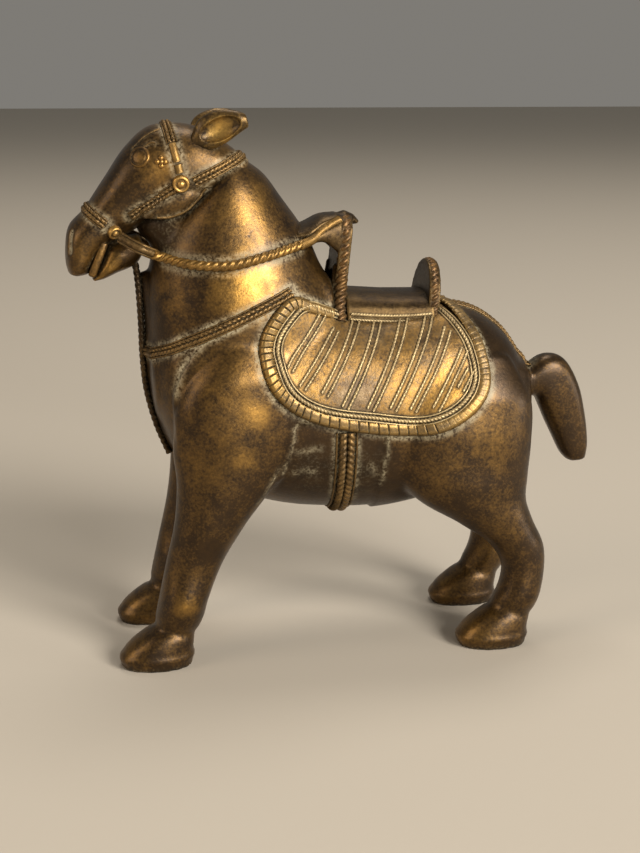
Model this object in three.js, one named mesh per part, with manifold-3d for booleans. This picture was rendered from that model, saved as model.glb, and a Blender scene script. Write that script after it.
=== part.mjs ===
// Cast bronze horse, saddled and bridled: a solid folk ornament that stands on its four hooves.
// Its maker shaped each member, strap and boss in wax, so each of them is a separate piece here.
// Millimetres, +Z up. The horse faces -X, its left side is -Y, and the soles stand on z = 0.
import * as THREE from "three";
import { mergeVertices } from "three/addons/utils/BufferGeometryUtils.js";
import Module from "manifold-3d";

const wasm = await Module();
wasm.setup();

// Driving dimensions
const GAP = 0.3; // joint line between two pieces that touch
const STRAP = { width: 2.4, thick: 0.9 }; // bridle and breast straps
const GIRTH = { width: 4.2, thick: 1.0 };
const CRUPPER = { width: 3.4, thick: 1.2, reach: 40 }; // reach: height of its plate in side view
// Saddle cloth: thickness of panel and border over the body, border width, middle in side view [x, z],
// straight steps round its edge
const CLOTH = { panel: 1.0, border: 1.6, borderWidth: 3.6, middle: [6, 72], steps: 27 };
const ROPE = { radius: 1.15, lift: 0.7, steps: 24 }; // lift: its middle above the neck
const CHEEK_BOSS = { radius: 1.9, height: 1.5 };
const BIT_BOSS = { radius: 1.6, height: 1.4 };
const BOSS_ROOT = 1.2; // depth of a boss below the surface that it stands on
const BOSS_ROOM = 4; // height of the clear space that straps leave round a boss
const EYE = { radius: 2.3, height: 0.8 };
const POMMEL = { half: 6.4, round: 4.5, thick: 2.9, foot: [-1.9, 76], top: 103.4, lean: 0.107 };
const CANTLE = { half: 9.8, round: 10.5, thick: 2.7, foot: [20.1, 78], top: 92.3, lean: 0.118 };
const MARTINGALE = { width: 3.4, thick: 1.9, steps: 18 };

// Stations of each body part: [top x, top z, bottom x, bottom z, half width, side offset].
// A leg counts its front as the top and its side offset from the middle plane outwards.
const BARREL = [
  [-44, 77, -43, 56, 9.5],
  [-39.5, 84, -38.5, 46.5, 15],
  [-30, 87, -29, 39, 18],
  [-17, 84.5, -17, 34.6, 19.5],
  [-4, 82, -4, 32.8, 20],
  [8, 81, 8, 32.6, 20],
  [19.5, 82, 18.5, 34.4, 19.5],
  [31, 80.6, 30, 38, 18.5],
  [38.8, 75.6, 38.5, 41.5, 16],
  [43.6, 69, 43, 47, 11],
];
const NECK = [
  [3, 78, -42.5, 57, 17],
  [-1.5, 86.5, -45, 70, 17.5],
  [-4.9, 92, -45.2, 82, 16.5],
  [-8, 99, -44.4, 91.5, 14.8],
  [-13.8, 107.3, -41.8, 99, 12.4],
  [-17.9, 112.8, -38, 103.5, 10.6],
  [-23, 116.4, -32.5, 107.5, 8.6],
];
const THROAT = [
  [-30, 89, -44.6, 86, 10],
  [-30, 95, -44.2, 92, 9.4],
  [-29.5, 101, -43.9, 96.6, 8.2],
  [-30, 106, -46.8, 100.6, 7],
  [-31, 109, -46, 105, 5.5],
];
const HEAD = [
  [-21.6, 116, -25, 110.5, 6.2],
  [-28, 120.6, -31.5, 106.5, 9],
  [-34.5, 123.6, -37.5, 103.8, 9.6],
  [-43, 123.4, -43.2, 102.7, 9.2],
  [-48.6, 119, -46.8, 100.6, 8.4],
  [-54.6, 110.5, -50.2, 98.6, 7.6],
  [-58.4, 105.2, -53.2, 96.6, 7.4],
  [-61.8, 101.6, -55.6, 94, 7.3],
  [-62.9, 96.8, -57, 91.9, 7.1],
  [-63, 93, -58, 90.6, 6.5],
  [-62.5, 91.2, -59.4, 90.3, 5.4],
];
const LOWER_JAW = [
  [-46.2, 98.8, -45, 96.6, 5],
  [-48.6, 97.4, -47.6, 92.4, 6.2],
  [-51.8, 96.2, -50.6, 90.4, 6.7],
  [-54.4, 92.6, -53.6, 89.2, 6.4],
  [-56, 90.4, -55.6, 88.9, 5.2],
];
const FORELEG = [
  [-30.5, 75.5, -21.5, 78.5, 3, 13.5],
  [-37.5, 66, -12.5, 70, 6.5, 14.4],
  [-40.6, 53, -11.8, 56, 7.4, 14.2],
  [-40, 43.5, -17.4, 43, 7.4, 13.9],
  [-41, 33.5, -24.6, 33, 6.8, 13.8],
  [-43.1, 24, -30.4, 23, 5.9, 13.8],
  [-44.8, 16.4, -33.4, 15.4, 6, 13.9],
  [-45.9, 12, -34.2, 11.6, 6, 14],
  [-47, 8.6, -36.2, 7.2, 5, 14.1],
  [-47.4, 4, -37.3, 3.6, 5.1, 14.1],
];
const HINDLEG = [
  [16, 72, 38, 71, 3, 13],
  [9.6, 63, 43.2, 61, 7, 14],
  [8.6, 53, 43.6, 50.5, 8, 14.2],
  [10.8, 44, 43, 42, 8, 14.2],
  [16.5, 37.2, 42.8, 36.6, 7.5, 14],
  [26.6, 31, 44.6, 31.6, 6.5, 14],
  [34.2, 25.5, 47.6, 25, 5.7, 14],
  [37.6, 19.8, 48.1, 19, 5.2, 14.1],
  [36.8, 14, 47.1, 12.4, 5.5, 14.2],
  [34.4, 9.8, 45.2, 7.6, 4.9, 14.2],
  [32.6, 6, 44, 4.6, 5.2, 14.2],
];
// Hooves, from the sole up, measured from the toe line: [front x, front z, back x, back z, half width].
const HOOF = [
  [0.4, 0, 17, 0, 5.8],
  [0, 2.2, 17.2, 2.2, 6.1],
  [1.3, 4.6, 17.3, 4.2, 6],
  [4, 7, 17.5, 6, 5.6],
  [6.6, 8.8, 17.7, 7.4, 5.2],
];
const FORE_TOE = -54.3;
const HIND_TOE = 26.8;
const STANCE = 14.2; // hoof middle from the middle plane
const TAIL = [
  [45.5, 65, 46.5, 58.5, 4],
  [50.4, 68.4, 48.6, 58, 4.3],
  [55, 67.8, 50, 55.2, 4.4],
  [59.3, 61.6, 51.6, 51.6, 4.3],
  [61.5, 53.8, 53.6, 47.6, 4],
  [62.6, 45.8, 56, 43, 3.5],
  [62.2, 41.8, 57.6, 41.4, 3],
];
const EAR = [
  [-34.4, 121.2, -33.6, 118.6, 1.2, 6.6],
  [-32.7, 124.8, -30.7, 118, 1.9, 7.2],
  [-28.6, 126.9, -27.1, 119.5, 2, 7.9],
  [-24.8, 126.9, -23.9, 122.3, 1.8, 8.5],
  [-22.5, 125.8, -22.1, 124.1, 1, 8.8],
];
// Dish in the ear's outer face: half length, depth and half width, middle [x, z, outward], tilts in radians
const EAR_DISH = { half: [4.9, 1.6, 2.7], at: [-28.2, 122.7, 9.9], rise: 0.39, splay: 0.17 };
const SEAT = [
  [0, 86.6, 0, 75, 10.6],
  [10, 85.4, 10, 75, 10.9],
  [24, 85.4, 24, 75, 10.9],
];
const BEAK = [
  [-1.6, 103.2, -1.2, 98.5, 3.4],
  [1, 104, 1, 99.4, 3.2],
  [3.2, 103, 2.4, 100.6, 2.4],
  [4.4, 101.6, 3.5, 100.7, 1.4],
];
// Web that closes the space between the reins, from the neck to the top of the pommel
const REIN_WEB = [
  [-10, 99.6, -10, 97.6, 6.4],
  [-5, 101.9, -4.8, 99.8, 4.5],
  [-1.4, 103.2, -1.4, 100.9, 3.4],
];
// Edge of the saddle cloth as seen from the side, from the withers down and round to the croup: [x, z].
const CLOTH_EDGE = [
  [-2.4, 91],
  [-3.8, 82.8],
  [-8.6, 84.8],
  [-13.6, 86.2],
  [-18, 82.6],
  [-21, 77],
  [-20.6, 70],
  [-17.5, 64],
  [-11.5, 59.4],
  [-2, 56.3],
  [10.6, 54.6],
  [20, 55.2],
  [28, 59.7],
  [32, 66],
  [31.2, 74],
  [28.6, 79.2],
  [24, 83],
  [21, 86],
];
// Strap lines as seen from the side, as two ends [x, z].
const BROW_LINE = [[-40.4, 127], [-36.9, 112.4]];
const HEADSTALL_LINE = [[-35.6, 110.6], [-17, 119.6]];
const CHEEK_LINE = [[-38.4, 110.1], [-48.2, 103.8]];
const NOSE_LINE = [[-60.4, 107.4], [-52.6, 101.1]];
const COLLAR_LINE = [[-50, 70.3], [-12, 87.8]];
const CRUPPER_LINE = [[20, 75], [60, 75]];
const GIRTH_LINE = [[-1.4, 57.5], [-1.6, 28]];
const CHEEK_BOSS_AT = [-37, 111.1];
const BIT_BOSS_AT = [-51.9, 100.5];
const EYE_AT = [-45.6, 117.3];
// Routes: the rein as [x, z, outward] before and after the stretch [x, z] that lies on the neck.
const REIN_FROM_BIT = [[-50.1, 99.1, 8.6], [-45.8, 96.9, 10.8]];
const REIN_ON_NECK = [[-41, 94.7], [-35.4, 93.7], [-27, 93.6], [-18.3, 95.5], [-12.5, 96.8]];
const REIN_TO_POMMEL = [[-8, 97.8, 7.9], [-4.8, 100.1, 6.2], [-0.8, 102.2, 4.8]];
// Front strap in the middle plane, from the chin down the neck and chest, as [x, z].
const MARTINGALE_LINE = [
  [-47.9, 95.6],
  [-47.1, 92.6],
  [-46.6, 89],
  [-46.3, 84],
  [-46.2, 78],
  [-46, 71],
  [-45.2, 63],
  [-43.1, 54.8],
  [-40.4, 47.6],
];

// Colours and finish of the patinated bronze
const DARK = { color: 0x43351f, roughness: 0.45, metalness: 1 };
const BROWN = { color: 0x5f4826, roughness: 0.4, metalness: 1 };
const WORN = { color: 0x9a7434, roughness: 0.35, metalness: 1 };

const SIDES = { left: -1, right: 1 };
const REACH = 200; // longer than anything on the horse

const point = (x, z, y = 0) => new THREE.Vector3(x, y, z);

// Rounds a circle's coordinate towards a square as the exponent grows past 2.
const squared = (value, exponent) => Math.sign(value) * Math.abs(value) ** (2 / exponent);

// A smooth closed skin through a row of stations, with domed ends; grow moves its surface outwards.
function skin(stations, { rings = 1, sides = 12, dome = [0, 0], square = 2, grow = 0 } = {}) {
  const tops = new THREE.CatmullRomCurve3(stations.map(([x, z]) => point(x, z)));
  const bottoms = new THREE.CatmullRomCurve3(stations.map(([, , x, z]) => point(x, z)));
  const widths = new THREE.CatmullRomCurve3(stations.map(([, , , , half, side = 0]) => point(half, side)));
  const section = (t) => {
    const top = tops.getPoint(t);
    const bottom = bottoms.getPoint(t);
    const width = widths.getPoint(t);
    const centre = top.clone().add(bottom).multiplyScalar(0.5).setY(width.z);
    const rise = top.sub(bottom).multiplyScalar(0.5);
    rise.setLength(rise.length() + grow);
    return { centre, rise, half: width.x + grow };
  };
  const ring = ({ centre, rise, half }, scale, shift) => {
    const points = [];
    for (let i = 0; i < sides; i++) {
      const angle = (2 * Math.PI * i) / sides;
      const across = half * scale * squared(Math.sin(angle), square);
      const spot = centre.clone().add(shift);
      spot.addScaledVector(rise, scale * squared(Math.cos(angle), square));
      points.push(spot.add(new THREE.Vector3(0, across, 0)));
    }
    return points;
  };
  const spans = (stations.length - 1) * rings;
  const still = new THREE.Vector3();
  const rows = [];
  for (let i = 0; i <= spans; i++) {
    rows.push(ring(section(i / spans), 1, still));
  }
  const poles = [0, 1].map((end) => {
    const last = section(end);
    const inner = section(end === 0 ? 1 / spans : 1 - 1 / spans);
    const depth = dome[end] + grow;
    const outward = last.centre.clone().sub(inner.centre).setLength(depth);
    for (const angle of depth > GAP ? [Math.PI / 6, Math.PI / 3] : []) {
      const row = ring(last, Math.cos(angle), outward.clone().multiplyScalar(Math.sin(angle)));
      if (end === 0) rows.unshift(row);
      else rows.push(row);
    }
    return last.centre.add(outward);
  });
  return closed(rows, poles);
}

// Triangles over rows of points that close round, with a pole at each end.
function closed(rows, poles) {
  const sides = rows[0].length;
  const points = [poles[0], ...rows.flat(), poles[1]];
  const index = [];
  const at = (row, i) => 1 + row * sides + (i % sides);
  for (let i = 0; i < sides; i++) {
    index.push(0, at(0, i), at(0, i + 1));
    index.push(points.length - 1, at(rows.length - 1, i + 1), at(rows.length - 1, i));
  }
  for (let row = 0; row + 1 < rows.length; row++) {
    for (let i = 0; i < sides; i++) {
      index.push(at(row, i), at(row + 1, i), at(row + 1, i + 1));
      index.push(at(row, i), at(row + 1, i + 1), at(row, i + 1));
    }
  }
  const geometry = new THREE.BufferGeometry().setFromPoints(points);
  geometry.setIndex(volume(points, index) > 0 ? index : index.reverse());
  return geometry;
}

// Six times the signed volume inside a set of triangles: negative when they face inwards.
function volume(points, index) {
  let sum = 0;
  for (let i = 0; i < index.length; i += 3) {
    const [a, b, c] = index.slice(i, i + 3).map((k) => points[k]);
    sum += a.dot(b.clone().cross(c));
  }
  return sum;
}

// Solids for cutting and joining, and back again
function solid(geometry) {
  const bare = geometry.clone();
  bare.deleteAttribute("normal");
  bare.deleteAttribute("uv");
  const merged = mergeVertices(bare);
  const vertProperties = merged.attributes.position.array;
  const triVerts = Uint32Array.from(merged.index.array);
  return new wasm.Manifold(new wasm.Mesh({ numProp: 3, vertProperties, triVerts }));
}

function surface(body) {
  const mesh = body.getMesh();
  const geometry = new THREE.BufferGeometry();
  geometry.setAttribute("position", new THREE.BufferAttribute(mesh.vertProperties, 3));
  geometry.setIndex(new THREE.BufferAttribute(mesh.triVerts, 1));
  geometry.computeVertexNormals();
  return geometry;
}

const join = (...bodies) => bodies.reduce((whole, body) => whole.add(body));
const cut = (body, ...others) => others.reduce((rest, other) => rest.subtract(other), body);
const largest = (body) => body.decompose().sort((a, b) => b.volume() - a.volume())[0];

// A body part as a function of how far its surface is grown
const form = (stations, options) => (grow = 0) => solid(skin(stations, { ...options, grow }));
const sided = (stations, side) => stations.map(([a, b, c, d, half, out]) => [a, b, c, d, half, side * out]);
const hoofAt = (toe, side) => HOOF.map(([a, b, c, d, half]) => [toe + a, b, toe + c, d, half, side * STANCE]);

const barrel = form(BARREL, { sides: 16, rings: 2, dome: [1.6, 3.2], square: 2.2 });
const crest = form(NECK, { sides: 18, rings: 2, dome: [1, 1] });
const throat = form(THROAT, { dome: [0.5, 0.5] });
const head = form(HEAD, { sides: 18, rings: 2, dome: [1.4, 0.3], square: 2.2 });
const lowerJaw = form(LOWER_JAW, { dome: [0.6, 0.6], square: 2.4 });
const tail = form(TAIL, { dome: [0.5, 0.2], square: 2.5 });
const foreleg = (side) => form(sided(FORELEG, side), { rings: 2, dome: [1, 0] });
const hindleg = (side) => form(sided(HINDLEG, side), { rings: 2, dome: [1, 0] });
const hoof = (toe, side) => form(hoofAt(toe, side), { dome: [0, 0.6], square: 2.3 });

const together = (parts) => (grow) => join(...parts.map((part) => part(grow)));
const both = (part) => Object.values(SIDES).map((side) => part(side));
const neck = together([crest, throat]);
const torso = together([barrel, ...both(foreleg), ...both(hindleg)]);
const front = together([neck, head]);
const chest = together([torso, neck]);

// A flat plate that cuts a strap out of a grown body: its line as seen from the side, and its width.
function strapPlate([[ax, az], [bx, bz]], width, [from, to] = [-REACH, REACH]) {
  const length = Math.hypot(bx - ax, bz - az);
  const box = new THREE.BoxGeometry(length, to - from, width);
  box.rotateY(-Math.atan2(bz - az, bx - ax));
  box.translate((ax + bx) / 2, (from + to) / 2, (az + bz) / 2);
  return solid(box);
}

const strap = (body, plate, thick) => cut(body(thick + GAP).intersect(plate), body(GAP));

// A prism along Y over an outline drawn in side view
function sidePrism(outline) {
  const shape = new THREE.Shape(outline.map(({ x, y }) => new THREE.Vector2(x, y)));
  const prism = new THREE.ExtrudeGeometry(shape, { depth: REACH, bevelEnabled: false });
  prism.translate(0, 0, -REACH / 2);
  prism.rotateX(Math.PI / 2);
  return solid(prism);
}

// The cloth's outline, drawn in towards its middle by some distance and open over the back
function clothPrism(inset) {
  const edge = new THREE.SplineCurve(CLOTH_EDGE.map(([x, z]) => new THREE.Vector2(x, z)));
  const middle = new THREE.Vector2(...CLOTH.middle);
  const outline = edge.getPoints(CLOTH.steps);
  for (const spot of outline) {
    spot.add(middle.clone().sub(spot).setLength(inset));
  }
  const over = REACH / 2;
  outline.push(new THREE.Vector2(outline.at(-1).x, over), new THREE.Vector2(outline[0].x, over));
  return sidePrism(outline);
}

// An upright plate across the saddle with a rounded top
function upright({ half, round, thick, foot: [x, z], top, lean }, grow = 0) {
  const shape = new THREE.Shape();
  const height = top - z;
  shape.moveTo(-half - grow, 0);
  shape.lineTo(half + grow, 0);
  shape.absellipse(0, height - round, half + grow, round + grow, 0, Math.PI);
  const depth = thick + 2 * grow;
  const plate = new THREE.ExtrudeGeometry(shape, { depth, bevelEnabled: false, curveSegments: 8 });
  plate.translate(0, 0, -depth / 2);
  plate.rotateX(Math.PI / 2);
  plate.rotateZ(Math.PI / 2);
  plate.rotateY(lean);
  plate.translate(x, 0, z);
  return solid(plate);
}

// Where a line square to the middle plane meets the outside of a body
function touch(target, side, [x, z]) {
  const ray = new THREE.Raycaster(point(x, z, side * REACH), new THREE.Vector3(0, -side, 0));
  return ray.intersectObject(target)[0];
}

// A round boss: a ring about a pellet, standing on the surface that it touches
function boss({ radius, height }, { point: spot, face }) {
  const profile = [
    [0, -BOSS_ROOT],
    [radius, -BOSS_ROOT],
    [radius, height * 0.6],
    [radius * 0.84, height * 0.8],
    [radius * 0.62, height * 0.6],
    [radius * 0.5, height * 0.5],
    [radius * 0.38, height * 0.9],
    [0, height],
  ];
  const lathe = new THREE.LatheGeometry(profile.map(([r, h]) => new THREE.Vector2(r, h)), 8);
  const turn = new THREE.Quaternion().setFromUnitVectors(new THREE.Vector3(0, 1, 0), face.normal);
  lathe.applyQuaternion(turn);
  lathe.translate(spot.x, spot.y, spot.z);
  return solid(lathe);
}

// A section swept along a smooth curve
function sweep(section, route, steps) {
  const extrudePath = new THREE.CatmullRomCurve3(route);
  const options = { steps, extrudePath, curveSegments: 3, bevelEnabled: false };
  return solid(new THREE.ExtrudeGeometry(section, options));
}

const horse = new THREE.Group();

function piece(name, body, finish) {
  const mesh = new THREE.Mesh(surface(largest(body)), new THREE.MeshStandardMaterial(finish));
  mesh.name = name;
  horse.add(mesh);
}

// Body, neck, head and jaw
piece("barrel", barrel(), BROWN);
piece("neck", cut(neck(), barrel(GAP), head(GAP)), WORN);
piece("head", head(), DARK);
piece("lower_jaw", cut(lowerJaw(), front(GAP)), BROWN);

// Legs, hooves and tail
for (const [name, side] of Object.entries(SIDES)) {
  piece(`${name}_foreleg`, cut(foreleg(side)(), barrel(GAP), neck(GAP), hoof(FORE_TOE, side)(GAP)), BROWN);
  piece(`${name}_hindleg`, cut(hindleg(side)(), barrel(GAP), hoof(HIND_TOE, side)(GAP)), BROWN);
  piece(`${name}_fore_hoof`, hoof(FORE_TOE, side)(), BROWN);
  piece(`${name}_hind_hoof`, hoof(HIND_TOE, side)(), BROWN);
}
piece("tail", cut(tail(), barrel(GAP)), DARK);

// Saddle: cloth with its border, seat, pommel and cantle
const clothOutline = clothPrism(0);
const clothInner = clothOutline.intersect(clothPrism(CLOTH.borderWidth));
const borderRing = cut(clothOutline, clothPrism(CLOTH.borderWidth - GAP));
piece("saddle_cloth", strap(chest, clothInner, CLOTH.panel), WORN);
piece("cloth_border", strap(chest, borderRing, CLOTH.border), BROWN);
const clothOuter = clothPrism(-GAP);
const saddleBed = [chest(CLOTH.border + 2 * GAP).intersect(clothOuter), chest(GAP)];
const beak = solid(skin(BEAK, { dome: [0.4, 0.4] }));
const reinWeb = solid(skin(REIN_WEB, { dome: [0.3, 0.3] }));
piece("pommel", cut(join(upright(POMMEL), beak, reinWeb), ...saddleBed), DARK);
piece("cantle", cut(upright(CANTLE), ...saddleBed), BROWN);
const seatBlock = solid(skin(SEAT, { rings: 2, square: 2.4 }));
piece("saddle_seat", cut(seatBlock, ...saddleBed, upright(POMMEL, GAP), upright(CANTLE, GAP)), DARK);

// Straps of the saddle
piece("girth", cut(strap(barrel, strapPlate(GIRTH_LINE, GIRTH.width), GIRTH.thick), clothOuter), WORN);
const crupperPlate = strapPlate(CRUPPER_LINE, CRUPPER.reach, [-CRUPPER.width / 2, CRUPPER.width / 2]);
piece("crupper", cut(strap(barrel, crupperPlate, CRUPPER.thick), clothOuter, tail(GAP)), BROWN);

// Front strap and the two halves of the breast collar that meet it
const strapSection = new THREE.Shape();
strapSection.moveTo(-MARTINGALE.width / 2, -MARTINGALE.thick / 2);
strapSection.lineTo(MARTINGALE.width / 2, -MARTINGALE.thick / 2);
strapSection.lineTo(MARTINGALE.width / 2, MARTINGALE.thick / 2);
strapSection.lineTo(-MARTINGALE.width / 2, MARTINGALE.thick / 2);
const frontStrap = sweep(strapSection, MARTINGALE_LINE.map(([x, z]) => point(x, z)), MARTINGALE.steps);
piece("martingale", cut(frontStrap, chest(GAP), head(GAP), lowerJaw(GAP)), DARK);
for (const [name, side] of Object.entries(SIDES)) {
  const inner = side * (MARTINGALE.width / 2 + GAP);
  const reach = side < 0 ? [-REACH, inner] : [inner, REACH];
  const plate = strapPlate(COLLAR_LINE, STRAP.width, reach);
  piece(`${name}_breast_collar`, cut(strap(chest, plate, STRAP.thick), clothOuter), WORN);
}

// Bridle straps, bosses, eyes and ears
const bossRoom = [];
const headMesh = new THREE.Mesh(surface(head()));
const frontMesh = new THREE.Mesh(surface(front(0)));
for (const [name, side] of Object.entries(SIDES)) {
  const cheek = touch(headMesh, side, CHEEK_BOSS_AT);
  const bit = touch(headMesh, side, BIT_BOSS_AT);
  const eye = touch(headMesh, side, EYE_AT);
  piece(`${name}_cheek_boss`, cut(boss(CHEEK_BOSS, cheek), front(GAP)), WORN);
  piece(`${name}_bit_boss`, cut(boss(BIT_BOSS, bit), front(GAP), lowerJaw(GAP)), WORN);
  piece(`${name}_eye`, cut(boss(EYE, eye), head(GAP)), WORN);
  bossRoom.push(boss({ radius: CHEEK_BOSS.radius + GAP, height: BOSS_ROOM }, cheek));
  bossRoom.push(boss({ radius: BIT_BOSS.radius + GAP, height: BOSS_ROOM }, bit));
  const leaf = solid(skin(sided(EAR, side), { sides: 14, dome: [0.3, 0.3] }));
  const dish = new THREE.SphereGeometry(1, 12, 8).scale(...EAR_DISH.half);
  dish.rotateZ(side * EAR_DISH.splay).rotateY(-EAR_DISH.rise);
  dish.translate(EAR_DISH.at[0], side * EAR_DISH.at[2], EAR_DISH.at[1]);
  piece(`${name}_ear`, cut(leaf, solid(dish), head(GAP)), BROWN);
}
piece("brow_strap", cut(strap(head, strapPlate(BROW_LINE, STRAP.width), STRAP.thick), ...bossRoom), BROWN);
const headstallPlate = strapPlate(HEADSTALL_LINE, STRAP.width);
piece("headstall", cut(strap(front, headstallPlate, STRAP.thick), ...bossRoom), BROWN);
piece("noseband", cut(strap(head, strapPlate(NOSE_LINE, STRAP.width), STRAP.thick), ...bossRoom), BROWN);
for (const [name, side] of Object.entries(SIDES)) {
  const plate = strapPlate(CHEEK_LINE, STRAP.width, side < 0 ? [-REACH, 0] : [0, REACH]);
  piece(`${name}_cheek_strap`, cut(strap(head, plate, STRAP.thick), ...bossRoom), BROWN);
}

// Reins from the bit bosses, round the neck to the top of the pommel
const ropeSection = new THREE.Shape().absarc(0, 0, ROPE.radius, 0, 2 * Math.PI);
for (const [name, side] of Object.entries(SIDES)) {
  const onNeck = REIN_ON_NECK.map((spot) => {
    const rest = touch(frontMesh, side, spot).point;
    return rest.setY(rest.y + side * ROPE.lift);
  });
  const free = ([x, z, out]) => point(x, z, side * out);
  const route = [...REIN_FROM_BIT.map(free), ...onNeck, ...REIN_TO_POMMEL.map(free)];
  const rope = sweep(ropeSection, route, ROPE.steps);
  piece(`${name}_rein`, cut(rope, front(GAP), upright(POMMEL, GAP), ...bossRoom), WORN);
}

export default horse;
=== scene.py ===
import math

import bmesh
import bpy
from mathutils import Matrix, Vector, geometry, kdtree, noise
from mathutils.bvhtree import BVHTree


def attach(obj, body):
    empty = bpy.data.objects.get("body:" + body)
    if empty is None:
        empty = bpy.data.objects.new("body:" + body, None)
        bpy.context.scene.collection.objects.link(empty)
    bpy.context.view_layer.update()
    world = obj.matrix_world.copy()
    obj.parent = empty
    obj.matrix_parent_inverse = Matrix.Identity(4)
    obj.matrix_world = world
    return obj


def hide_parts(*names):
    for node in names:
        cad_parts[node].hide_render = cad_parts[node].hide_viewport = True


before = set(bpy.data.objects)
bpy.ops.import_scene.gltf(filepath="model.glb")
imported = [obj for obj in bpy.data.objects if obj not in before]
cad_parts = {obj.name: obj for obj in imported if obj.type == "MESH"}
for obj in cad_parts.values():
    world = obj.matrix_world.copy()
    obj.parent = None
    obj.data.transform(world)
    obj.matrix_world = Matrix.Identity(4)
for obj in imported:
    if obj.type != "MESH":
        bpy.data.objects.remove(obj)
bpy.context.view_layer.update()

# Camera
# The photograph looks at the horse's left side from arm's length, a little from the front and above.
# Lengths in this file are millimetres, and mm() turns them into metres.
CAMERA_AT = (-54.36, -310.81, 133.62)
CAMERA_TURN, CAMERA_DIP = 9.1, 14.49
CAMERA_NEAR = 10
# The focal length and the height of the picture are counted in the photograph's pixels.
CAMERA_FOCAL, PHOTO_TALL = 1350, 853


def mm(x, y, z):
    return Vector((x, y, z)) / 1000


camera = bpy.data.objects.new("camera", bpy.data.cameras.new("camera"))
camera.data.lens = camera.data.sensor_width * CAMERA_FOCAL / PHOTO_TALL
camera.data.clip_start = CAMERA_NEAR / 1000
camera.location = mm(*CAMERA_AT)
camera.rotation_euler = (math.radians(90 - CAMERA_DIP), 0, math.radians(-CAMERA_TURN))
bpy.context.scene.collection.objects.link(camera)
bpy.context.scene.camera = camera

# Floor and studio light
# A plain pale table top that runs far past the view, with a pale room round it.
# The main soft lamp stands to the right front, as the highlights on the bronze show.
FLOOR_REACH = 6000
FLOOR_COLOUR = "#b9b2a6"
FLOOR_ROUGH = 0.75
FLOOR_GRAIN = {"size": 2.5, "deep": 0.2, "strength": 0.1}
ROOM_COLOUR = "#d9d4cb"
ROOM_STRENGTH = 0.3
LAMPS = {
    "window": {"at": (980, -1300, 860), "aim": (0, 0, 70), "size": 700, "power": 41, "colour": "#fff6ea"},
    "fill": {"at": (-1500, -500, 700), "aim": (-10, 0, 60), "size": 900, "power": 8, "colour": "#ffead2"},
    "front": {"at": (420, -1500, 380), "aim": (5, 0, 55), "size": 420, "power": 9, "colour": "#fffaf2"},
    "side": {"at": (1700, -640, 120), "aim": (10, 0, 40), "size": 700, "power": 10, "colour": "#fbf6ee"},
    "top": {"at": (150, 600, 1800), "aim": (0, 0, 80), "size": 800, "power": 11, "colour": "#fff6ea"},
}


def linear(code):
    """An sRGB hex colour as linear red, green, blue and alpha."""
    shares = [int(code[at:at + 2], 16) / 255 for at in (1, 3, 5)]
    return [s / 12.92 if s <= 0.04045 else ((s + 0.055) / 1.055) ** 2.4 for s in shares] + [1]


def add(tree, kind, inputs=(), out=0, **settings):
    """Adds a node with its settings, sets or links its inputs by name or number, and gives one output."""
    node = tree.nodes.new("ShaderNode" + kind)
    for key, value in settings.items():
        setattr(node, key, value)
    for key, value in dict(inputs).items():
        if isinstance(value, bpy.types.NodeSocket):
            tree.links.new(value, node.inputs[key])
        else:
            node.inputs[key].default_value = value
    return node.outputs[out]


def show(name, mesh, *finishes):
    """An object at the origin that shows a mesh with the given materials."""
    thing = bpy.data.objects.new(name, mesh)
    bpy.context.scene.collection.objects.link(thing)
    mesh.materials.clear()
    for finish in finishes:
        mesh.materials.append(finish)
    return thing


def made(name, form):
    """A mesh from a finished bmesh."""
    mesh = bpy.data.meshes.new(name)
    form.to_mesh(mesh)
    form.free()
    return mesh


# Matt painted board: its paint film leaves a faint roller grain
floor_paint = bpy.data.materials.new("matt_painted_board")
floor_paint.use_nodes = True
floor_tree = floor_paint.node_tree
floor_spot = add(floor_tree, "TexCoord", out="Object")
floor_grain = add(floor_tree, "TexNoise", {"Vector": floor_spot, "Scale": 1000 / FLOOR_GRAIN["size"],
                                           "Detail": 3})
floor_bump = add(floor_tree, "Bump", {"Height": floor_grain, "Strength": FLOOR_GRAIN["strength"],
                                      "Distance": FLOOR_GRAIN["deep"] / 1000})
floor_inputs = floor_tree.nodes["Principled BSDF"].inputs
floor_inputs["Base Color"].default_value = linear(FLOOR_COLOUR)
floor_inputs["Roughness"].default_value = FLOOR_ROUGH
floor_tree.links.new(floor_bump, floor_inputs["Normal"])
floor_sheet = bmesh.new()
bmesh.ops.create_grid(floor_sheet, x_segments=1, y_segments=1, size=FLOOR_REACH / 1000)
floor_mesh = made("floor", floor_sheet)
show("floor", floor_mesh, floor_paint)

world = bpy.data.worlds.new("room")
world.use_nodes = True
room = world.node_tree.nodes["Background"]
room.inputs["Color"].default_value = linear(ROOM_COLOUR)
room.inputs["Strength"].default_value = ROOM_STRENGTH
bpy.context.scene.world = world
bpy.context.scene.view_settings.view_transform = "Standard"

for lamp_name, lamp in LAMPS.items():
    light = bpy.data.lights.new(lamp_name, "AREA")
    light.shape = "DISK"
    light.size = lamp["size"] / 1000
    light.energy = lamp["power"]
    light.color = linear(lamp["colour"])[:3]
    stand = bpy.data.objects.new(lamp_name, light)
    stand.location = mm(*lamp["at"])
    stand.rotation_euler = (mm(*lamp["aim"]) - stand.location).to_track_quat("-Z", "Y").to_euler()
    bpy.context.scene.collection.objects.link(stand)

# Body: barrel, neck, legs, hooves and tail
# Solid bronze, cast in one pour from a wax model whose members were pressed and smoothed together.
# So one skin runs over all of them, with soft hollows where they meet and a rim round each hoof.
SIDES = {"left": -1, "right": 1}
BODY_NODES = ["barrel", "neck", "tail"] + [f"{side}_{part}" for side in SIDES
                                           for part in ("foreleg", "hindleg", "fore_hoof", "hind_hoof")]
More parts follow.
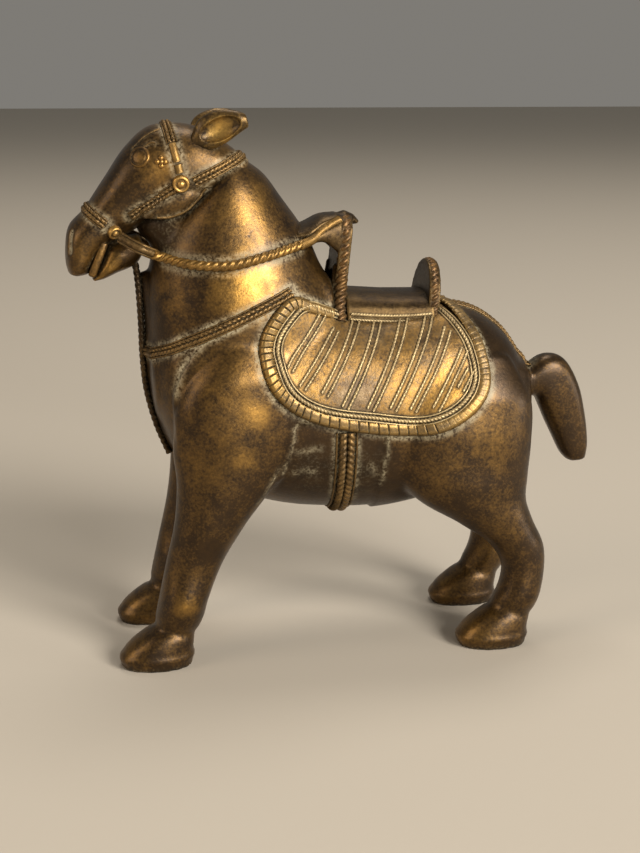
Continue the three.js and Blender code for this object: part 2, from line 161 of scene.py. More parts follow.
# How finely the wax is pressed together and how often smoothed; the cloth lies on a smoother copy, its bed
BODY_WAX = {"grain": 0.6, "soften": 8}
BED_SOFTEN = 60
BODY_LUMPS = {"size": 10, "height": 0.16}
CURVE_STEPS = 32
# Stations of each member: top x, z, bottom x, z, half width, side offset. A leg counts its front as the top.
BARREL = [(-44, 77, -43, 56, 9.5), (-39.5, 84, -38.5, 46.5, 15), (-30, 87, -29, 39, 18),
          (-17, 84.5, -17, 34.6, 19.5), (-4, 82, -4, 32.8, 20), (8, 81, 8, 32.6, 20),
          (19.5, 82, 18.5, 34.4, 19.5), (31, 80.6, 30, 38, 18.5), (38.8, 75.6, 38.5, 41.5, 16),
          (43.6, 69, 43, 47, 11)]
NECK = [(3, 78, -42.5, 57, 17), (-1.5, 86.5, -45, 70, 17.5), (-4.9, 92, -45.2, 82, 16.5),
        (-8, 99, -44.4, 91.5, 14.8), (-13.8, 107.3, -41.8, 99, 12.4), (-17.9, 112.8, -38, 103.5, 10.6),
        (-23, 116.4, -32.5, 107.5, 8.6)]
THROAT = [(-30, 89, -44.6, 86, 10), (-30, 95, -44.2, 92, 9.4), (-29.5, 101, -43.9, 96.6, 8.2),
          (-30, 106, -46.8, 100.6, 7), (-31, 109, -46, 105, 5.5)]
FORELEG = [(-30.5, 75.5, -21.5, 78.5, 3, 13.5), (-37.5, 66, -12.5, 70, 6.5, 14.4),
           (-40.6, 53, -11.8, 56, 7.4, 14.2), (-40, 43.5, -17.4, 43, 7.4, 13.9),
           (-41, 33.5, -24.6, 33, 6.7, 13.8), (-43.1, 24, -30.4, 23, 5.5, 13.8),
           (-44.8, 16.4, -33.4, 15.4, 6.5, 13.9), (-45.8, 12, -34.4, 11.6, 5.7, 14),
           (-46.6, 8.6, -36.4, 7.2, 4.8, 14.1), (-47.2, 4, -37.3, 3.6, 5.1, 14.1)]
HINDLEG = [(16, 72, 38, 71, 3, 13), (9.6, 63, 43.2, 61, 7, 14), (8.6, 53, 43.6, 50.5, 8, 14.2),
           (10.8, 44, 43, 42, 8, 14.2), (16.5, 37.2, 42.8, 36.6, 7.5, 14), (26.6, 31, 44.6, 31.6, 6.5, 14),
           (34.2, 25.5, 47.6, 25, 5.7, 14), (37.6, 19.8, 48.1, 19, 5.2, 14.1),
           (36.8, 14, 47.1, 12.4, 5.5, 14.2), (34.4, 9.8, 45.2, 7.6, 4.9, 14.2),
           (32.6, 6, 44, 4.6, 5.2, 14.2)]
HOOF = [(0.4, 0, 17, 0, 5.8), (0, 2.2, 17.2, 2.2, 6.1), (1.3, 4.6, 17.3, 4.2, 6), (4, 7, 17.5, 6, 5.6),
        (6.6, 8.8, 17.7, 7.4, 5.2)]
HOOF_TOES, HOOF_STANCE = (-54.3, 26.8), 14.2
WITHERS = [(-15, 95, -15, 78, 11.5), (-9, 93.2, -9, 76, 10.6), (-5.6, 91.6, -5.6, 75, 9.6),
           (-2.8, 89, -2.8, 75, 8.8)]
TAIL = [(45.5, 65, 46.5, 58.5, 4), (50.4, 68.4, 48.6, 58, 4.3), (55, 67.8, 50, 55.2, 4.4),
        (59.3, 61.6, 51.6, 51.6, 4.3), (61.5, 53.8, 53.6, 47.6, 4), (62.6, 45.8, 56, 43, 3.5),
        (62.2, 41.8, 57.6, 41.4, 3)]
CHEST = [(-46.6, 90.4, -40, 90, 2), (-46.3, 88, -40, 88, 3), (-46, 84, -40, 84, 4), (-45.8, 78, -39, 78, 5),
         (-45.7, 71, -38, 71, 6), (-45, 63, -37, 63, 6.5), (-43.1, 54.8, -36, 55.5, 6),
         (-40.4, 48, -34, 50, 4)]
# How each member is rounded: its stations, how far its two ends are domed, how square its section is
BODY_FORMS = [(BARREL, (1.6, 3.2), 2.2), (NECK, (1, 1), 2), (THROAT, (0.5, 0.5), 2), (TAIL, (0.5, 0.2), 2.5),
              (WITHERS, (0, 0.6), 2.6), (CHEST, (0.5, 0.5), 2)]
LEG_FORMS = [(FORELEG, (1, 0), 2), (HINDLEG, (1, 0), 2)]
HOOF_FORM = ([(*row, HOOF_STANCE) for row in HOOF], (0, 0.6), 2.3)
HOOF_RIM = {"height": 2.6, "spread": 0.75, "proud": 0.35}
HOOF_CREASE = {"height": 13, "fall": 0.3, "spread": 1.3, "deep": 0.3, "top": 16}
# The flanks under the cloth lie lower than shoulder and thigh: their edges in side view as x, z
FLANK_FORE = [(-13, 58), (-13.6, 53.2), (-14.3, 49.7), (-15.9, 44.3), (-18.7, 40.4), (-21, 38)]
FLANK_HIND = [(7.6, 58), (7.8, 54.4), (8, 51.8), (7.5, 48.7), (7, 46.3), (6.5, 40)]
FLANK = {"deep": 0.6, "soft": 0.5, "low": 25}
# The shoulder stands proud of the chest behind a crease, and fades out backwards, up and down
SHOULDER_CREASE = [(-33, 76), (-35, 74.4), (-37.2, 71.4), (-38.6, 68.6), (-39.9, 65)]
SHOULDER = {"rise": 0.9, "soft": 0.7, "out": 8, "reach": 14, "top": 77, "top_fade": 3,
            "low": 52, "low_fade": 10}
# Pale residue along lines, and dark grime and painted shade round spots, in side view: how far out they lie,
# amount, spread
FLANK_SMEARS = [[(-12.8, 51.2), (-7.1, 52)], [(-13.9, 44.6), (-11, 45.6), (-8.6, 44.9)],
                [(-18.2, 42.6), (-15.6, 47.6)], [(4.6, 47), (5.6, 43.3)]]
BODY_RESIDUE = [(FLANK_FORE, 19.5, 0.8, 0.5), (FLANK_HIND, 19.5, 0.8, 0.5), (SHOULDER_CREASE, 15, 1, 1.1)]
BODY_RESIDUE += [(smear, 19.5, 0.45, 0.8) for smear in FLANK_SMEARS]
# The first spots, under the jaw, paint the throat's shade along with its grime
BODY_GRIME_AND_SHADE = [([(-44, 100), (-42, 97), (-40, 101)], 9, 0.7, 3.5),
              ([(-9, 47), (-10, 40), (2, 47), (3, 40)], 18, 0.5, 4.5)]
RESIDUE_STOPS = 10
# Places that hands rub bright, or that stay dark, and painted highlights: middle on the left side, radius,
# amount
# The spot under the rein on the neck is wear and a painted highlight; the spots on the shoulder band, fore
# fetlock and hind quarter are painted highlights
BODY_RUBS_AND_HIGHLIGHTS = [((-22, -13, 104), 11, 0.3), ((-24, -17, 89), 12, 0.8), ((-26, -21, 64), 16, 0.14),
             ((-20, -21, 74), 9, 0.2), ((-22.4, -21, 61), 5, 0.4), ((-25, -20, 51), 5, 0.25),
             ((33, -20, 50), 7, 0.1), ((28, -20, 54), 15, 0.12), ((-50, -14, 3), 9, 0.3),
             ((-38.8, -19.8, 16), 4.5, 0.35), ((-33, -19.5, 29), 5, -0.15), ((31, -14, 3), 9, 0.25),
             ((-40, -11, 85), 8, 0.12), ((-43, -8, 100), 6, -0.3), ((56, -3, 54), 16, -0.05),
             ((-2, -16, 40), 20, -0.35), ((38, -15, 72), 14, -0.35)]
# The patina's patterns in millimetres: worn clouds, mottling, casting grain and its depth, and how far from a
# crease grime gathers
PATINA = {"clouds": 19, "mottle": 3.4, "grain": 0.6, "deep": 0.12, "crease": 1.8}
# The dark colour is grime in creases, and also paints shade under the jaw and beside the cloth's threads
GRIME_AND_SHADE_COLOUR, RESIDUE_COLOUR = "#1c190e", "#9c9276"


def bronze(name, film, bare, wear, rough, rubs_and_highlights=(), edge=0.4, blotch=1.0, shine=0.55, wax=0.0):
    """Cast bronze under a brown oxide film, rubbed to bare metal on high places and at given spots, some of
    them painted highlights, with dark grime in its creases, grime and painted shade where the grime attribute
    says so, pale polish residue where the residue attribute says so, and a fine casting grain. Blotch scales
    how unevenly the film is worn, shine is how much of the metal shows through, wax is a coat of polish."""
    finish = bpy.data.materials.new(name)
    finish.use_nodes = True
    tree = finish.node_tree
    spot = add(tree, "TexCoord", out="Object")
    clouds, mottle, grain = (
        add(tree, "TexNoise", {"Vector": spot, "Scale": 1000 / PATINA[size], "Detail": detail,
                               "Roughness": fine})
        for size, detail, fine in (("clouds", 2, 0.5), ("mottle", 6, 0.68), ("grain", 3, 0.6)))
    height = add(tree, "NewGeometry", out="Pointiness")
    open_sky = add(tree, "AmbientOcclusion", {"Distance": PATINA["crease"] / 1000}, out="AO", samples=6)
    grime_and_shade = add(tree, "Attribute", out="Fac", attribute_name="grime_and_shade")
    powder = add(tree, "Attribute", out="Fac", attribute_name="residue")
    # What each pattern gives: the pattern, two of its values, and the amounts at these
    effects = {
        "sheltered": (open_sky, 0.85, 0.4, 0, 1),
        "clouded": (clouds, 0.3, 0.7, wear - 0.13 * blotch, wear + 0.13 * blotch),
        "raised": (height, 0.5, 0.57, 0, edge),
        "mottled": (mottle, 0.3, 0.7, -0.09 * blotch, 0.09 * blotch),
        "grained": (grain, 0.3, 0.7, -0.14 * blotch, 0.14 * blotch),
        "rub_mottle": (mottle, 0.35, 0.65, 0.5, 1.25),
        "filmed": (mottle, 0.3, 0.7, 0, 1),
        "caked": (mottle, 0.35, 0.6, 0.1, 1),
        "powdered": (grain, 0.36, 0.56, 0, 1),
        "dusty": (grain, 0.5, 0.65, 0, 0.3),
        "rough": (grain, 0.3, 0.7, rough - 0.07, rough + 0.09),
    }
    given = {key: add(tree, "MapRange", dict(enumerate(effect))) for key, effect in effects.items()}
    crease = add(tree, "Math", {0: given["sheltered"], 1: grime_and_shade})
    wear_and_highlight = given["clouded"]
    for effect in ("raised", "mottled", "grained"):
        wear_and_highlight = add(tree, "Math", {0: wear_and_highlight, 1: given[effect]})
    if rubs_and_highlights:
        x, y, z = (add(tree, "SeparateXYZ", {0: spot}, out=axis) for axis in "XYZ")
        aside = add(tree, "Math", {0: y}, operation="ABSOLUTE")
        left = add(tree, "Math", {0: aside, 1: -1}, operation="MULTIPLY")
        folded = add(tree, "CombineXYZ", {0: x, 1: left, 2: z})
    # Spots that wear brighter or stay darker; some of them paint highlights
    for middle, radius, amount in rubs_and_highlights:
        away = add(tree, "VectorMath", {0: folded, 1: mm(*middle)}, out="Value", operation="DISTANCE")
        near = add(tree, "MapRange", {0: away, 1: radius / 1000, 2: 0, 3: 0, 4: amount},
                   interpolation_type="SMOOTHSTEP")
        wear_and_highlight = add(tree, "Math", {0: near, 1: given["rub_mottle"], 2: wear_and_highlight}, operation="MULTIPLY_ADD")
    wear_and_highlight = add(tree, "MapRange", {0: wear_and_highlight, 1: 0.05, 2: 0.95, 3: 0, 4: 1})
    for effect in ("caked", "powdered"):
        powder = add(tree, "Math", {0: powder, 1: given[effect]}, operation="MULTIPLY")
    powder = add(tree, "Math", {0: crease, 1: given["dusty"], 2: powder}, operation="MULTIPLY_ADD")
    dirt_and_shade = add(tree, "Math", {0: crease, 1: 0.6}, operation="MULTIPLY")
    # The film's two browns, then bare metal with painted highlights, grime with painted shade, and residue,
    # each over the last
    colour = linear(film[0])
    layers = ((given["filmed"], film[1]), (wear_and_highlight, bare), (dirt_and_shade, GRIME_AND_SHADE_COLOUR), (powder, RESIDUE_COLOUR))
    for share, over in layers:
        colour = add(tree, "Mix", {0: share, 6: colour, 7: linear(over)}, out=2, data_type="RGBA")
    metal_share = add(tree, "MapRange", {0: wear_and_highlight, 1: 0, 2: 0.8, 3: shine, 4: 1})
    clean = add(tree, "MapRange", {0: powder, 1: 0, 2: 1, 3: 1, 4: 0})
    metal = add(tree, "Math", {0: metal_share, 1: clean}, operation="MULTIPLY")
    soiled_and_shaded = add(tree, "Math", {0: crease, 1: powder})
    dull = add(tree, "Math", {0: soiled_and_shaded, 1: 0.3, 2: given["rough"]}, operation="MULTIPLY_ADD")
    relief = add(tree, "Math", {0: mottle, 1: 1.2, 2: grain}, operation="MULTIPLY_ADD")
    bump = add(tree, "Bump", {"Height": relief, "Strength": 0.4, "Distance": PATINA["deep"] / 1000})
    inputs = tree.nodes["Principled BSDF"].inputs
    inputs["Coat Weight"].default_value = wax
    inputs["Coat Roughness"].default_value = rough
    for socket, value in (("Base Color", colour), ("Metallic", metal), ("Roughness", dull), ("Normal", bump)):
        tree.links.new(value, inputs[socket])
    return finish


def settled(thing):
    """The mesh of an object with its modifiers applied; the object itself is dropped."""
    graph = bpy.context.evaluated_depsgraph_get()
    mesh = bpy.data.meshes.new_from_object(thing.evaluated_get(graph), depsgraph=graph)
    bpy.data.objects.remove(thing)
    return mesh


def through(points, share):
    """The place at some share of a smooth curve through points, as near to them as their spacing allows."""
    spans = len(points) - 1
    at = min(int(share * spans), spans - 1)
    one, two = points[at], points[at + 1]
    before = points[at - 1] if at else 2 * one - two
    after = points[at + 2] if at + 2 <= spans else 2 * two - one
    gap_before, gap, gap_after = (max((end - start).length ** 0.5, 1e-3)
                                  for start, end in ((before, one), (one, two), (two, after)))
    leave = ((one - before) / gap_before - (two - before) / (gap_before + gap) + (two - one) / gap) * gap
    arrive = ((two - one) / gap - (after - one) / (gap + gap_after) + (after - two) / gap_after) * gap
    curve = geometry.interpolate_bezier(one, one + leave / 3, two - arrive / 3, two, CURVE_STEPS + 1)
    return curve[round((share * spans - at) * CURVE_STEPS)]


def loft(stations, dome=(0, 0), square=2, side=1, shift=0, rings=8, sides=56, caps=6):
    """A smooth closed form through a row of stations, rounded towards a square and domed at its ends."""
    tops = [Vector((row[0] + shift, 0, row[1])) for row in stations]
    bottoms = [Vector((row[2] + shift, 0, row[3])) for row in stations]
    widths = [Vector((row[4], side * row[5] if len(row) > 5 else 0, 0)) for row in stations]
    body = (len(stations) - 1) * rings

    def section(share):
        top, bottom, width = (through(points, share) for points in (tops, bottoms, widths))
        return (top + bottom) / 2 + Vector((0, width.y, 0)), (top - bottom) / 2, width.x

    rows = [section(at / body) for at in range(body + 1)]
    ends = [(rows[0][0] - rows[1][0]).normalized() * dome[0],
            (rows[-1][0] - rows[-2][0]).normalized() * dome[1]]
    shell = bmesh.new()
    bmesh.ops.create_grid(shell, x_segments=body + 2 * caps, y_segments=sides, size=0.5)
    for corner in shell.verts:
        row = round((corner.co.x + 0.5) * (body + 2 * caps)) - caps
        turn = 2 * math.pi * round((corner.co.y + 0.5) * sides) / sides
        centre, rise, half = rows[min(max(row, 0), body)]
        bend = math.pi / 2 * max(-row, row - body, 0) / caps
        up, across = (math.copysign(abs(part) ** (2 / square), part)
                      for part in (math.cos(turn), math.sin(turn)))
        place = centre + math.cos(bend) * (rise * up + Vector((0, half * across, 0)))
        corner.co = (place + ends[0 if row < 0 else 1] * math.sin(bend)) / 1000
    bmesh.ops.remove_doubles(shell, verts=shell.verts, dist=1e-7)
    bmesh.ops.recalc_face_normals(shell, faces=shell.faces)
    return made("loft", shell)


def joined(name, meshes, *finishes):
    """One object that holds several meshes."""
    whole = bmesh.new()
    for mesh in meshes:
        whole.from_mesh(mesh)
    return show(name, made(name, whole), *finishes)


def fused(meshes, grain, soften):
    """One skin over closed meshes that run into each other, with soft hollows where they meet."""
    wax = joined("wax", meshes)
    pressed = wax.modifiers.new("pressed", "REMESH")
    pressed.mode = "VOXEL"
    pressed.voxel_size = grain / 1000
    smoothed = wax.modifiers.new("smoothed", "SMOOTH")
    smoothed.factor = 0.5
    smoothed.iterations = soften
    return settled(wax)


def moved(mesh, amount):
    """Moves each point of a mesh along its normal by amount(point, normal), in millimetres."""
    moves = [v.normal * amount(v.co * 1000, v.normal) / 1000 for v in mesh.vertices]
    for vertex, move in zip(mesh.vertices, moves):
        vertex.co += move


def lumpy(size, height):
    """The slow unevenness of a surface that was smoothed by hand."""
    return lambda point, normal: noise.noise(point / size) * height


def edge_at(line, z):
    """The x of a side-view edge at some height."""
    for (one_x, one_z), (two_x, two_z) in zip(line, line[1:]):
        if z >= two_z:
            return one_x + (two_x - one_x) * (one_z - z) / (one_z - two_z)
    return line[-1][0]


def held(value):
    """A value held between 0 and 1."""
    return min(max(value, 0), 1)


def bell(off):
    """A rounded bump of height 1 that has faded out by about 2 to either side."""
    return math.exp(-off * off)


def flank(point, normal):
    """How far a spot inside the flank's edges lies below the rest."""
    if not FLANK["low"] <= point.z <= FLANK_FORE[0][1]:
        return 0
    inside = min(point.x - edge_at(FLANK_FORE, point.z), edge_at(FLANK_HIND, point.z) - point.x)
    return -FLANK["deep"] * held(inside / FLANK["soft"] + 0.5)


def shoulder(point, normal):
    """How far the shoulder stands proud behind its crease."""
    if abs(point.y) < SHOULDER["out"]:
        return 0
    inside = point.x - edge_at(SHOULDER_CREASE, point.z)
    steps = (inside / SHOULDER["soft"] + 0.5, 1 - inside / SHOULDER["reach"],
             (SHOULDER["top"] - point.z) / SHOULDER["top_fade"],
             (point.z - SHOULDER["low"]) / SHOULDER["low_fade"])
    return SHOULDER["rise"] * math.prod(held(step) for step in steps)


def hoof_rim(point, normal):
    """The raised rim round a hoof just above the ground, and the crease between hoof and leg."""
    if point.z >= HOOF_CREASE["top"]:
        return 0
    toe = HOOF_TOES[0] if point.x < 0 else HOOF_TOES[1]
    rim = HOOF_RIM["proud"] * (1 - abs(normal.z)) * bell((point.z - HOOF_RIM["height"]) / HOOF_RIM["spread"])
    rise = point.z - HOOF_CREASE["height"] + HOOF_CREASE["fall"] * (point.x - toe)
    return rim - HOOF_CREASE["deep"] * bell(rise / HOOF_CREASE["spread"])


def skin_of(mesh):
    """A search tree over a mesh's faces."""
    return BVHTree.FromPolygons([v.co for v in mesh.vertices], [p.vertices for p in mesh.polygons])


def ready_for_residue(mesh):
    """Gives a mesh attributes for residue and for grime with painted shade; returns a search tree over its
    points.
    """
    for layer in ("residue", "grime_and_shade"):
        mesh.attributes.new(layer, "FLOAT", "POINT")
    spots = kdtree.KDTree(len(mesh.vertices))
    for at, vertex in enumerate(mesh.vertices):
        spots.insert(vertex.co, at)
    spots.balance()
    return spots


def powdered(mesh, spots, places, half, amount, spread=0.7, what="residue"):
    """Leaves pale residue, or grime and painted shade, on a skin at some distance to either side of a row of
    places.
    """
    layer = mesh.attributes[what].data
    for place in places:
        for _, at, away in spots.find_range(place, (half + 2 * spread) / 1000):
            layer[at].value = max(layer[at].value, amount * bell((away * 1000 - half) / spread))


def fasten(thing, slot, *nodes):
    """A finished piece: smooth shaded, riding on the casting, in place of its CAD nodes."""
    thing.data.shade_smooth()
    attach(thing, "root")
    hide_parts(*nodes)


# Brown patinated bronze: a thin glossy oxide film, mottled, rubbed golden on the neck and shoulders
# It carries painted highlights on the neck, shoulder, fore fetlock and hind quarter
body_bronze = bronze("patinated_bronze_body", ["#2a1c0a", "#402d13"], "#bd9046", 0.08, 0.36, BODY_RUBS_AND_HIGHLIGHTS,
                     edge=0, blotch=0.55, shine=0.75, wax=0.2)
body_forms = [loft(*form) for form in BODY_FORMS]
for side in SIDES.values():
    body_forms += [loft(*form, side) for form in LEG_FORMS]
    body_forms += [loft(*HOOF_FORM, side, toe) for toe in HOOF_TOES]
body_mesh = fused(body_forms, **BODY_WAX)
moved(body_mesh, lumpy(**BODY_LUMPS))
cloth_bed = skin_of(fused(body_forms, BODY_WAX["grain"], BED_SOFTEN))
for change in (flank, shoulder, hoof_rim):
    moved(body_mesh, change)
for vertex in body_mesh.vertices:
    vertex.co.z = max(vertex.co.z, 0)
body_spots = ready_for_residue(body_mesh)
for side in SIDES.values():
    for line, out, amount, spread in BODY_RESIDUE:
        places = []
        for (one_x, one_z), (two_x, two_z) in zip(line, line[1:]):
            for share in (stop / RESIDUE_STOPS for stop in range(RESIDUE_STOPS)):
                x, z = one_x + (two_x - one_x) * share, one_z + (two_z - one_z) * share
                places.append(body_spots.find(mm(x, side * out, z))[0])
        powdered(body_mesh, body_spots, places, 0, amount, spread)
    for spots, out, amount, spread in BODY_GRIME_AND_SHADE:
        powdered(body_mesh, body_spots, [mm(x, side * out, z) for x, z in spots], 0, amount, spread, "grime_and_shade")
body_skin = skin_of(body_mesh)
fasten(show("body", body_mesh, body_bronze), "bronze_brown", *BODY_NODES)

# Head and lower jaw
# Cast with the body: a long face with a blunt muzzle and a cut nostril, and the jaw as a separate lobe of
# wax with a flat lip strip between the two.
HEAD = [(-21.6, 116, -25, 110.5, 6.2), (-28, 120.6, -31.5, 106.5, 9), (-34.5, 123.6, -37.5, 103.8, 9.6),
        (-43, 123.4, -43.2, 102.7, 9.2), (-48.6, 119, -46.8, 100.6, 8.4), (-54.6, 110.5, -50.2, 98.6, 7.6),
        (-58.4, 105.2, -53.2, 96.6, 7.4), (-61.8, 101.6, -55.6, 94, 7.3), (-62.85, 96.8, -57, 91.9, 7.1),
        (-62.93, 93, -58, 90.6, 6.5), (-62.5, 91.2, -59.4, 90.3, 5.4)]
JOWL_LOBE = [(-32.5, 110, -33, 107.5, 1.2, 7), (-36, 110.6, -36.5, 104.6, 2, 7.2),
             (-40.5, 109, -41, 103.3, 2, 7), (-45, 106.5, -45.4, 103.3, 1.4, 6.6)]
LOWER_JAW = [(-46.8, 99.2, -45.4, 95.4, 5), (-50.5, 98.6, -46.6, 93.2, 6), (-53.5, 97.3, -48.4, 91.9, 6.5),
             (-54.9, 93.9, -51.4, 90.8, 6.5), (-56.1, 91.4, -54.4, 89.5, 5.8),
             (-56.9, 89.9, -56.2, 89.1, 4.6)]
HEAD_FORMS = [(HEAD, (1.4, 0.3), 2.2), (JOWL_LOBE, (0.5, 0.5), 2, -1), (JOWL_LOBE, (0.5, 0.5), 2, 1)]
HEAD_WAX = {"grain": 0.3, "soften": 6}
HEAD_LUMPS = {"size": 6, "height": 0.14}
JAW_FORM = (LOWER_JAW, (0.6, 0.6), 2.4)
JAW_WAX = {"grain": 0.28, "soften": 5}
NOSTRIL = {"from": (-61.7, 5.6, 96.2), "to": (-61.3, 4.9, 100.2), "width": 0.65, "deep": 0.7, "reach": 3,
           "stops": 8}
NOSTRIL_RESIDUE = {"half": 0, "amount": 4, "spread": 0.5}
LIP = {"from": (-54, 98.1), "to": (-57.3, 90.4), "half": 6.2, "thick": 1.8, "round": 0.6}
HEAD_RUBS = [((-41.5, -9, 114.5), 7, 0.35), ((-45.3, -9, 117), 3, 0.2), ((-57, -7, 96), 6, 0.18),
             ((-49, -6, 112), 10, -0.1)]
JAW_RUBS = [((-53.2, -6.5, 93.8), 3.2, 0.4), ((-47, -5, 95.5), 4, -0.3)]
ACROSS = Vector((0, 1, 0))


def nostril(point, normal):
    """The cut of a nostril on either side of the muzzle."""
    start, end = nostril_lines[0 if point.y < 0 else 1]
    share = geometry.intersect_point_line(point / 1000, start, end)[1]
    away = (point / 1000 - start.lerp(end, held(share))).length * 1000 / NOSTRIL["width"]
    return -NOSTRIL["deep"] * bell(away) if away < NOSTRIL["reach"] else 0


def between(start, end, stops):
    """Points at even steps from one place to another."""
    return [start.lerp(end, stop / stops) for stop in range(stops + 1)]


# Dark brown bronze: a thicker film than on the body, since fewer hands touch the face
head_bronze = bronze("patinated_bronze_head", ["#271b0a", "#3f2d14"], "#b98c46", 0.12, 0.36, HEAD_RUBS,
                     edge=0.1, blotch=0.6, shine=0.7, wax=0.14)
head_mesh = fused([loft(*form) for form in HEAD_FORMS], **HEAD_WAX)
moved(head_mesh, lumpy(**HEAD_LUMPS))
head_spots = ready_for_residue(head_mesh)
nostril_lines = []
for side in SIDES.values():
    nostril_ends = [mm(x, side * out, z) for x, out, z in (NOSTRIL["from"], NOSTRIL["to"])]
    nostril_lines.append([head_spots.find(end)[0] for end in nostril_ends])
moved(head_mesh, nostril)
for start, end in nostril_lines:
    powdered(head_mesh, head_spots, between(start, end, NOSTRIL["stops"]), **NOSTRIL_RESIDUE)
head_skin = skin_of(head_mesh)
fasten(show("head_cast", head_mesh, head_bronze), "bronze_dark", "head")

# Brown bronze with a golden patch where the chin is held
jaw_bronze = bronze("patinated_bronze_jaw", ["#2a1d0c", "#4a3517"], "#b98e46", 0.12, 0.38, JAW_RUBS,
                    blotch=0.7, shine=0.7)
fasten(show("jaw_cast", fused([loft(*JAW_FORM)], **JAW_WAX), jaw_bronze), "bronze_brown", "lower_jaw")

lip_start, lip_end = (mm(x, 0, z) for x, z in (LIP["from"], LIP["to"]))
lip_along = (lip_end - lip_start).normalized()
lip_turn = Matrix((lip_along, ACROSS, lip_along.cross(ACROSS))).transposed().to_4x4()
lip_strip = bmesh.new()
bmesh.ops.create_cube(lip_strip, size=1)
bmesh.ops.scale(lip_strip, verts=lip_strip.verts,
                vec=((lip_end - lip_start).length, 2 * LIP["half"] / 1000, LIP["thick"] / 1000))
bmesh.ops.bevel(lip_strip, geom=lip_strip.edges[:], offset=LIP["round"] / 1000, offset_type="OFFSET",
                segments=3, profile=0.5, affect="EDGES", material=-1)
bmesh.ops.transform(lip_strip, matrix=Matrix.Translation((lip_start + lip_end) / 2) @ lip_turn,
                    verts=lip_strip.verts)
fasten(show("lip_strip", made("lip", lip_strip), head_bronze), "bronze_dark")

# Ears
# Leaf-shaped lobes of wax pressed hollow with a thumb, set behind the brow strap.
# The rims and hollows are rubbed golden, and a highlight is painted on the hollow's lower rim.
EAR = [(-34.4, 121.2, -33.6, 118.6, 1.2, 6.6), (-32.7, 124.7, -30.7, 118, 1.9, 7.2),
       (-28.6, 126.7, -27.1, 119.5, 2, 7.9), (-24.6, 126.7, -23.6, 121.9, 1.8, 8.5),
       (-22.7, 126, -22, 123, 1.3, 8.8)]
EAR_DOME = (0.3, 0.3)
EAR_WAX = {"grain": 0.2, "soften": 3}
# The second spot is a painted highlight along the hollow's lower rim
EAR_RUBS_AND_HIGHLIGHT = [((-28.4, -8.4, 122.9), 4.1, 0.75), ((-26.5, -9.6, 120.7), 1.8, 0.4)]
EAR_DISH = {"half": (4.9, 2, 2.6), "at": (-28.2, 122.7, 9.9), "rise": 0.39, "splay": 0.17}

# Golden bronze in the hollows, brown round the roots
ear_bronze = bronze("patinated_bronze_ears", ["#2c2010", "#57421f"], "#c49d56", 0.03, 0.36, EAR_RUBS_AND_HIGHLIGHT,
                    edge=0.18)
for side_name, side in SIDES.items():
    ear_mesh = fused([loft(EAR, EAR_DOME, side=side)], **EAR_WAX)
    dish_x, dish_z, dish_out = EAR_DISH["at"]
    dish = Matrix.Translation((dish_x, side * dish_out, dish_z))
    dish = dish @ Matrix.Rotation(-EAR_DISH["rise"], 4, "Y")
    dish = dish @ Matrix.Rotation(side * EAR_DISH["splay"], 4, "Z")
    length, depth, width = EAR_DISH["half"]
    for vertex in ear_mesh.vertices:
        inside = dish.inverted() @ (vertex.co * 1000)
        room = 1 - (inside.x / length) ** 2 - (inside.z / width) ** 2
        if room > 0 and abs(inside.y) < depth * room ** 0.5:
            inside.y = -side * depth * room ** 0.5
            vertex.co = dish @ inside / 1000
    fasten(show(side_name + "_ear_cast", ear_mesh, ear_bronze), "bronze_brown", side_name + "_ear")

# Eyes and bosses
# Pellets and rings of wax pressed on the head: a flat eye inside an incised ring, a small rosette,
# and ring-and-pellet bosses where the bridle straps meet.
BOSS_TURNS = 28
EYE = {"at": (-45.8, 116.8), "profile": [(0, 0.42), (1.1, 0.4), (1.5, 0.32), (1.72, 0.05), (1.88, 0.05),
                                         (2.05, 0.3), (2.25, 0.24), (2.45, 0), (2.45, -0.9)]}
CHEEK_BOSS = {"at": (-37, 111.1), "profile": [(0, 1.5), (0.5, 1.4), (0.8, 1.1), (0.95, 0.7), (1.1, 0.7),
                                              (1.3, 1.1), (1.6, 1.15), (1.85, 0.9), (1.95, 0), (1.95, -1.2)]}
BIT_BOSS = {"at": (-51.9, 100.5), "profile": [(0, 1.4), (0.42, 1.3), (0.7, 1.0), (0.8, 0.6), (0.92, 0.6),
                                              (1.1, 1.05), (1.35, 1.05), (1.55, 0.8), (1.62, 0),
                                              (1.62, -1.2)]}
ROSETTE = {"at": (-41.2, 115.8), "reach": 0.85, "petals": 4}
PELLET = [(0, 0.42), (0.35, 0.36), (0.6, 0.16), (0.7, -0.4)]
# A distance that is well clear of the horse
CLEAR = 100


def turned(profile):
    """A closed round form from a profile of radius and height, spun about Z."""
    form = bmesh.new()
    corners = [form.verts.new(mm(radius, 0, height)) for radius, height in profile]
    corners.append(form.verts.new(mm(0, 0, profile[-1][1])))
    for one, two in zip(corners, corners[1:]):
        form.edges.new((one, two))
    bmesh.ops.spin(form, geom=form.verts[:] + form.edges[:], cent=(0, 0, 0), axis=(0, 0, 1),
                   angle=2 * math.pi, steps=BOSS_TURNS, use_merge=True)
    bmesh.ops.remove_doubles(form, verts=form.verts, dist=1e-6)
    bmesh.ops.recalc_face_normals(form, faces=form.faces)
    return made("turned", form)


def from_side(skin, side, x, z):
    """Where a line from one side meets a skin: the spot and the normal there."""
    spot, normal, _, _ = skin.ray_cast(mm(x, side * CLEAR, z), Vector((0, -side, 0)))
    return spot, normal


def stood(mesh, spot, normal):
    """A copy of a mesh, stood on a spot with its Z axis along the normal."""
    copy = mesh.copy()
    copy.transform(Matrix.Translation(spot) @ normal.to_track_quat("Z", "Y").to_matrix().to_4x4())
    return copy


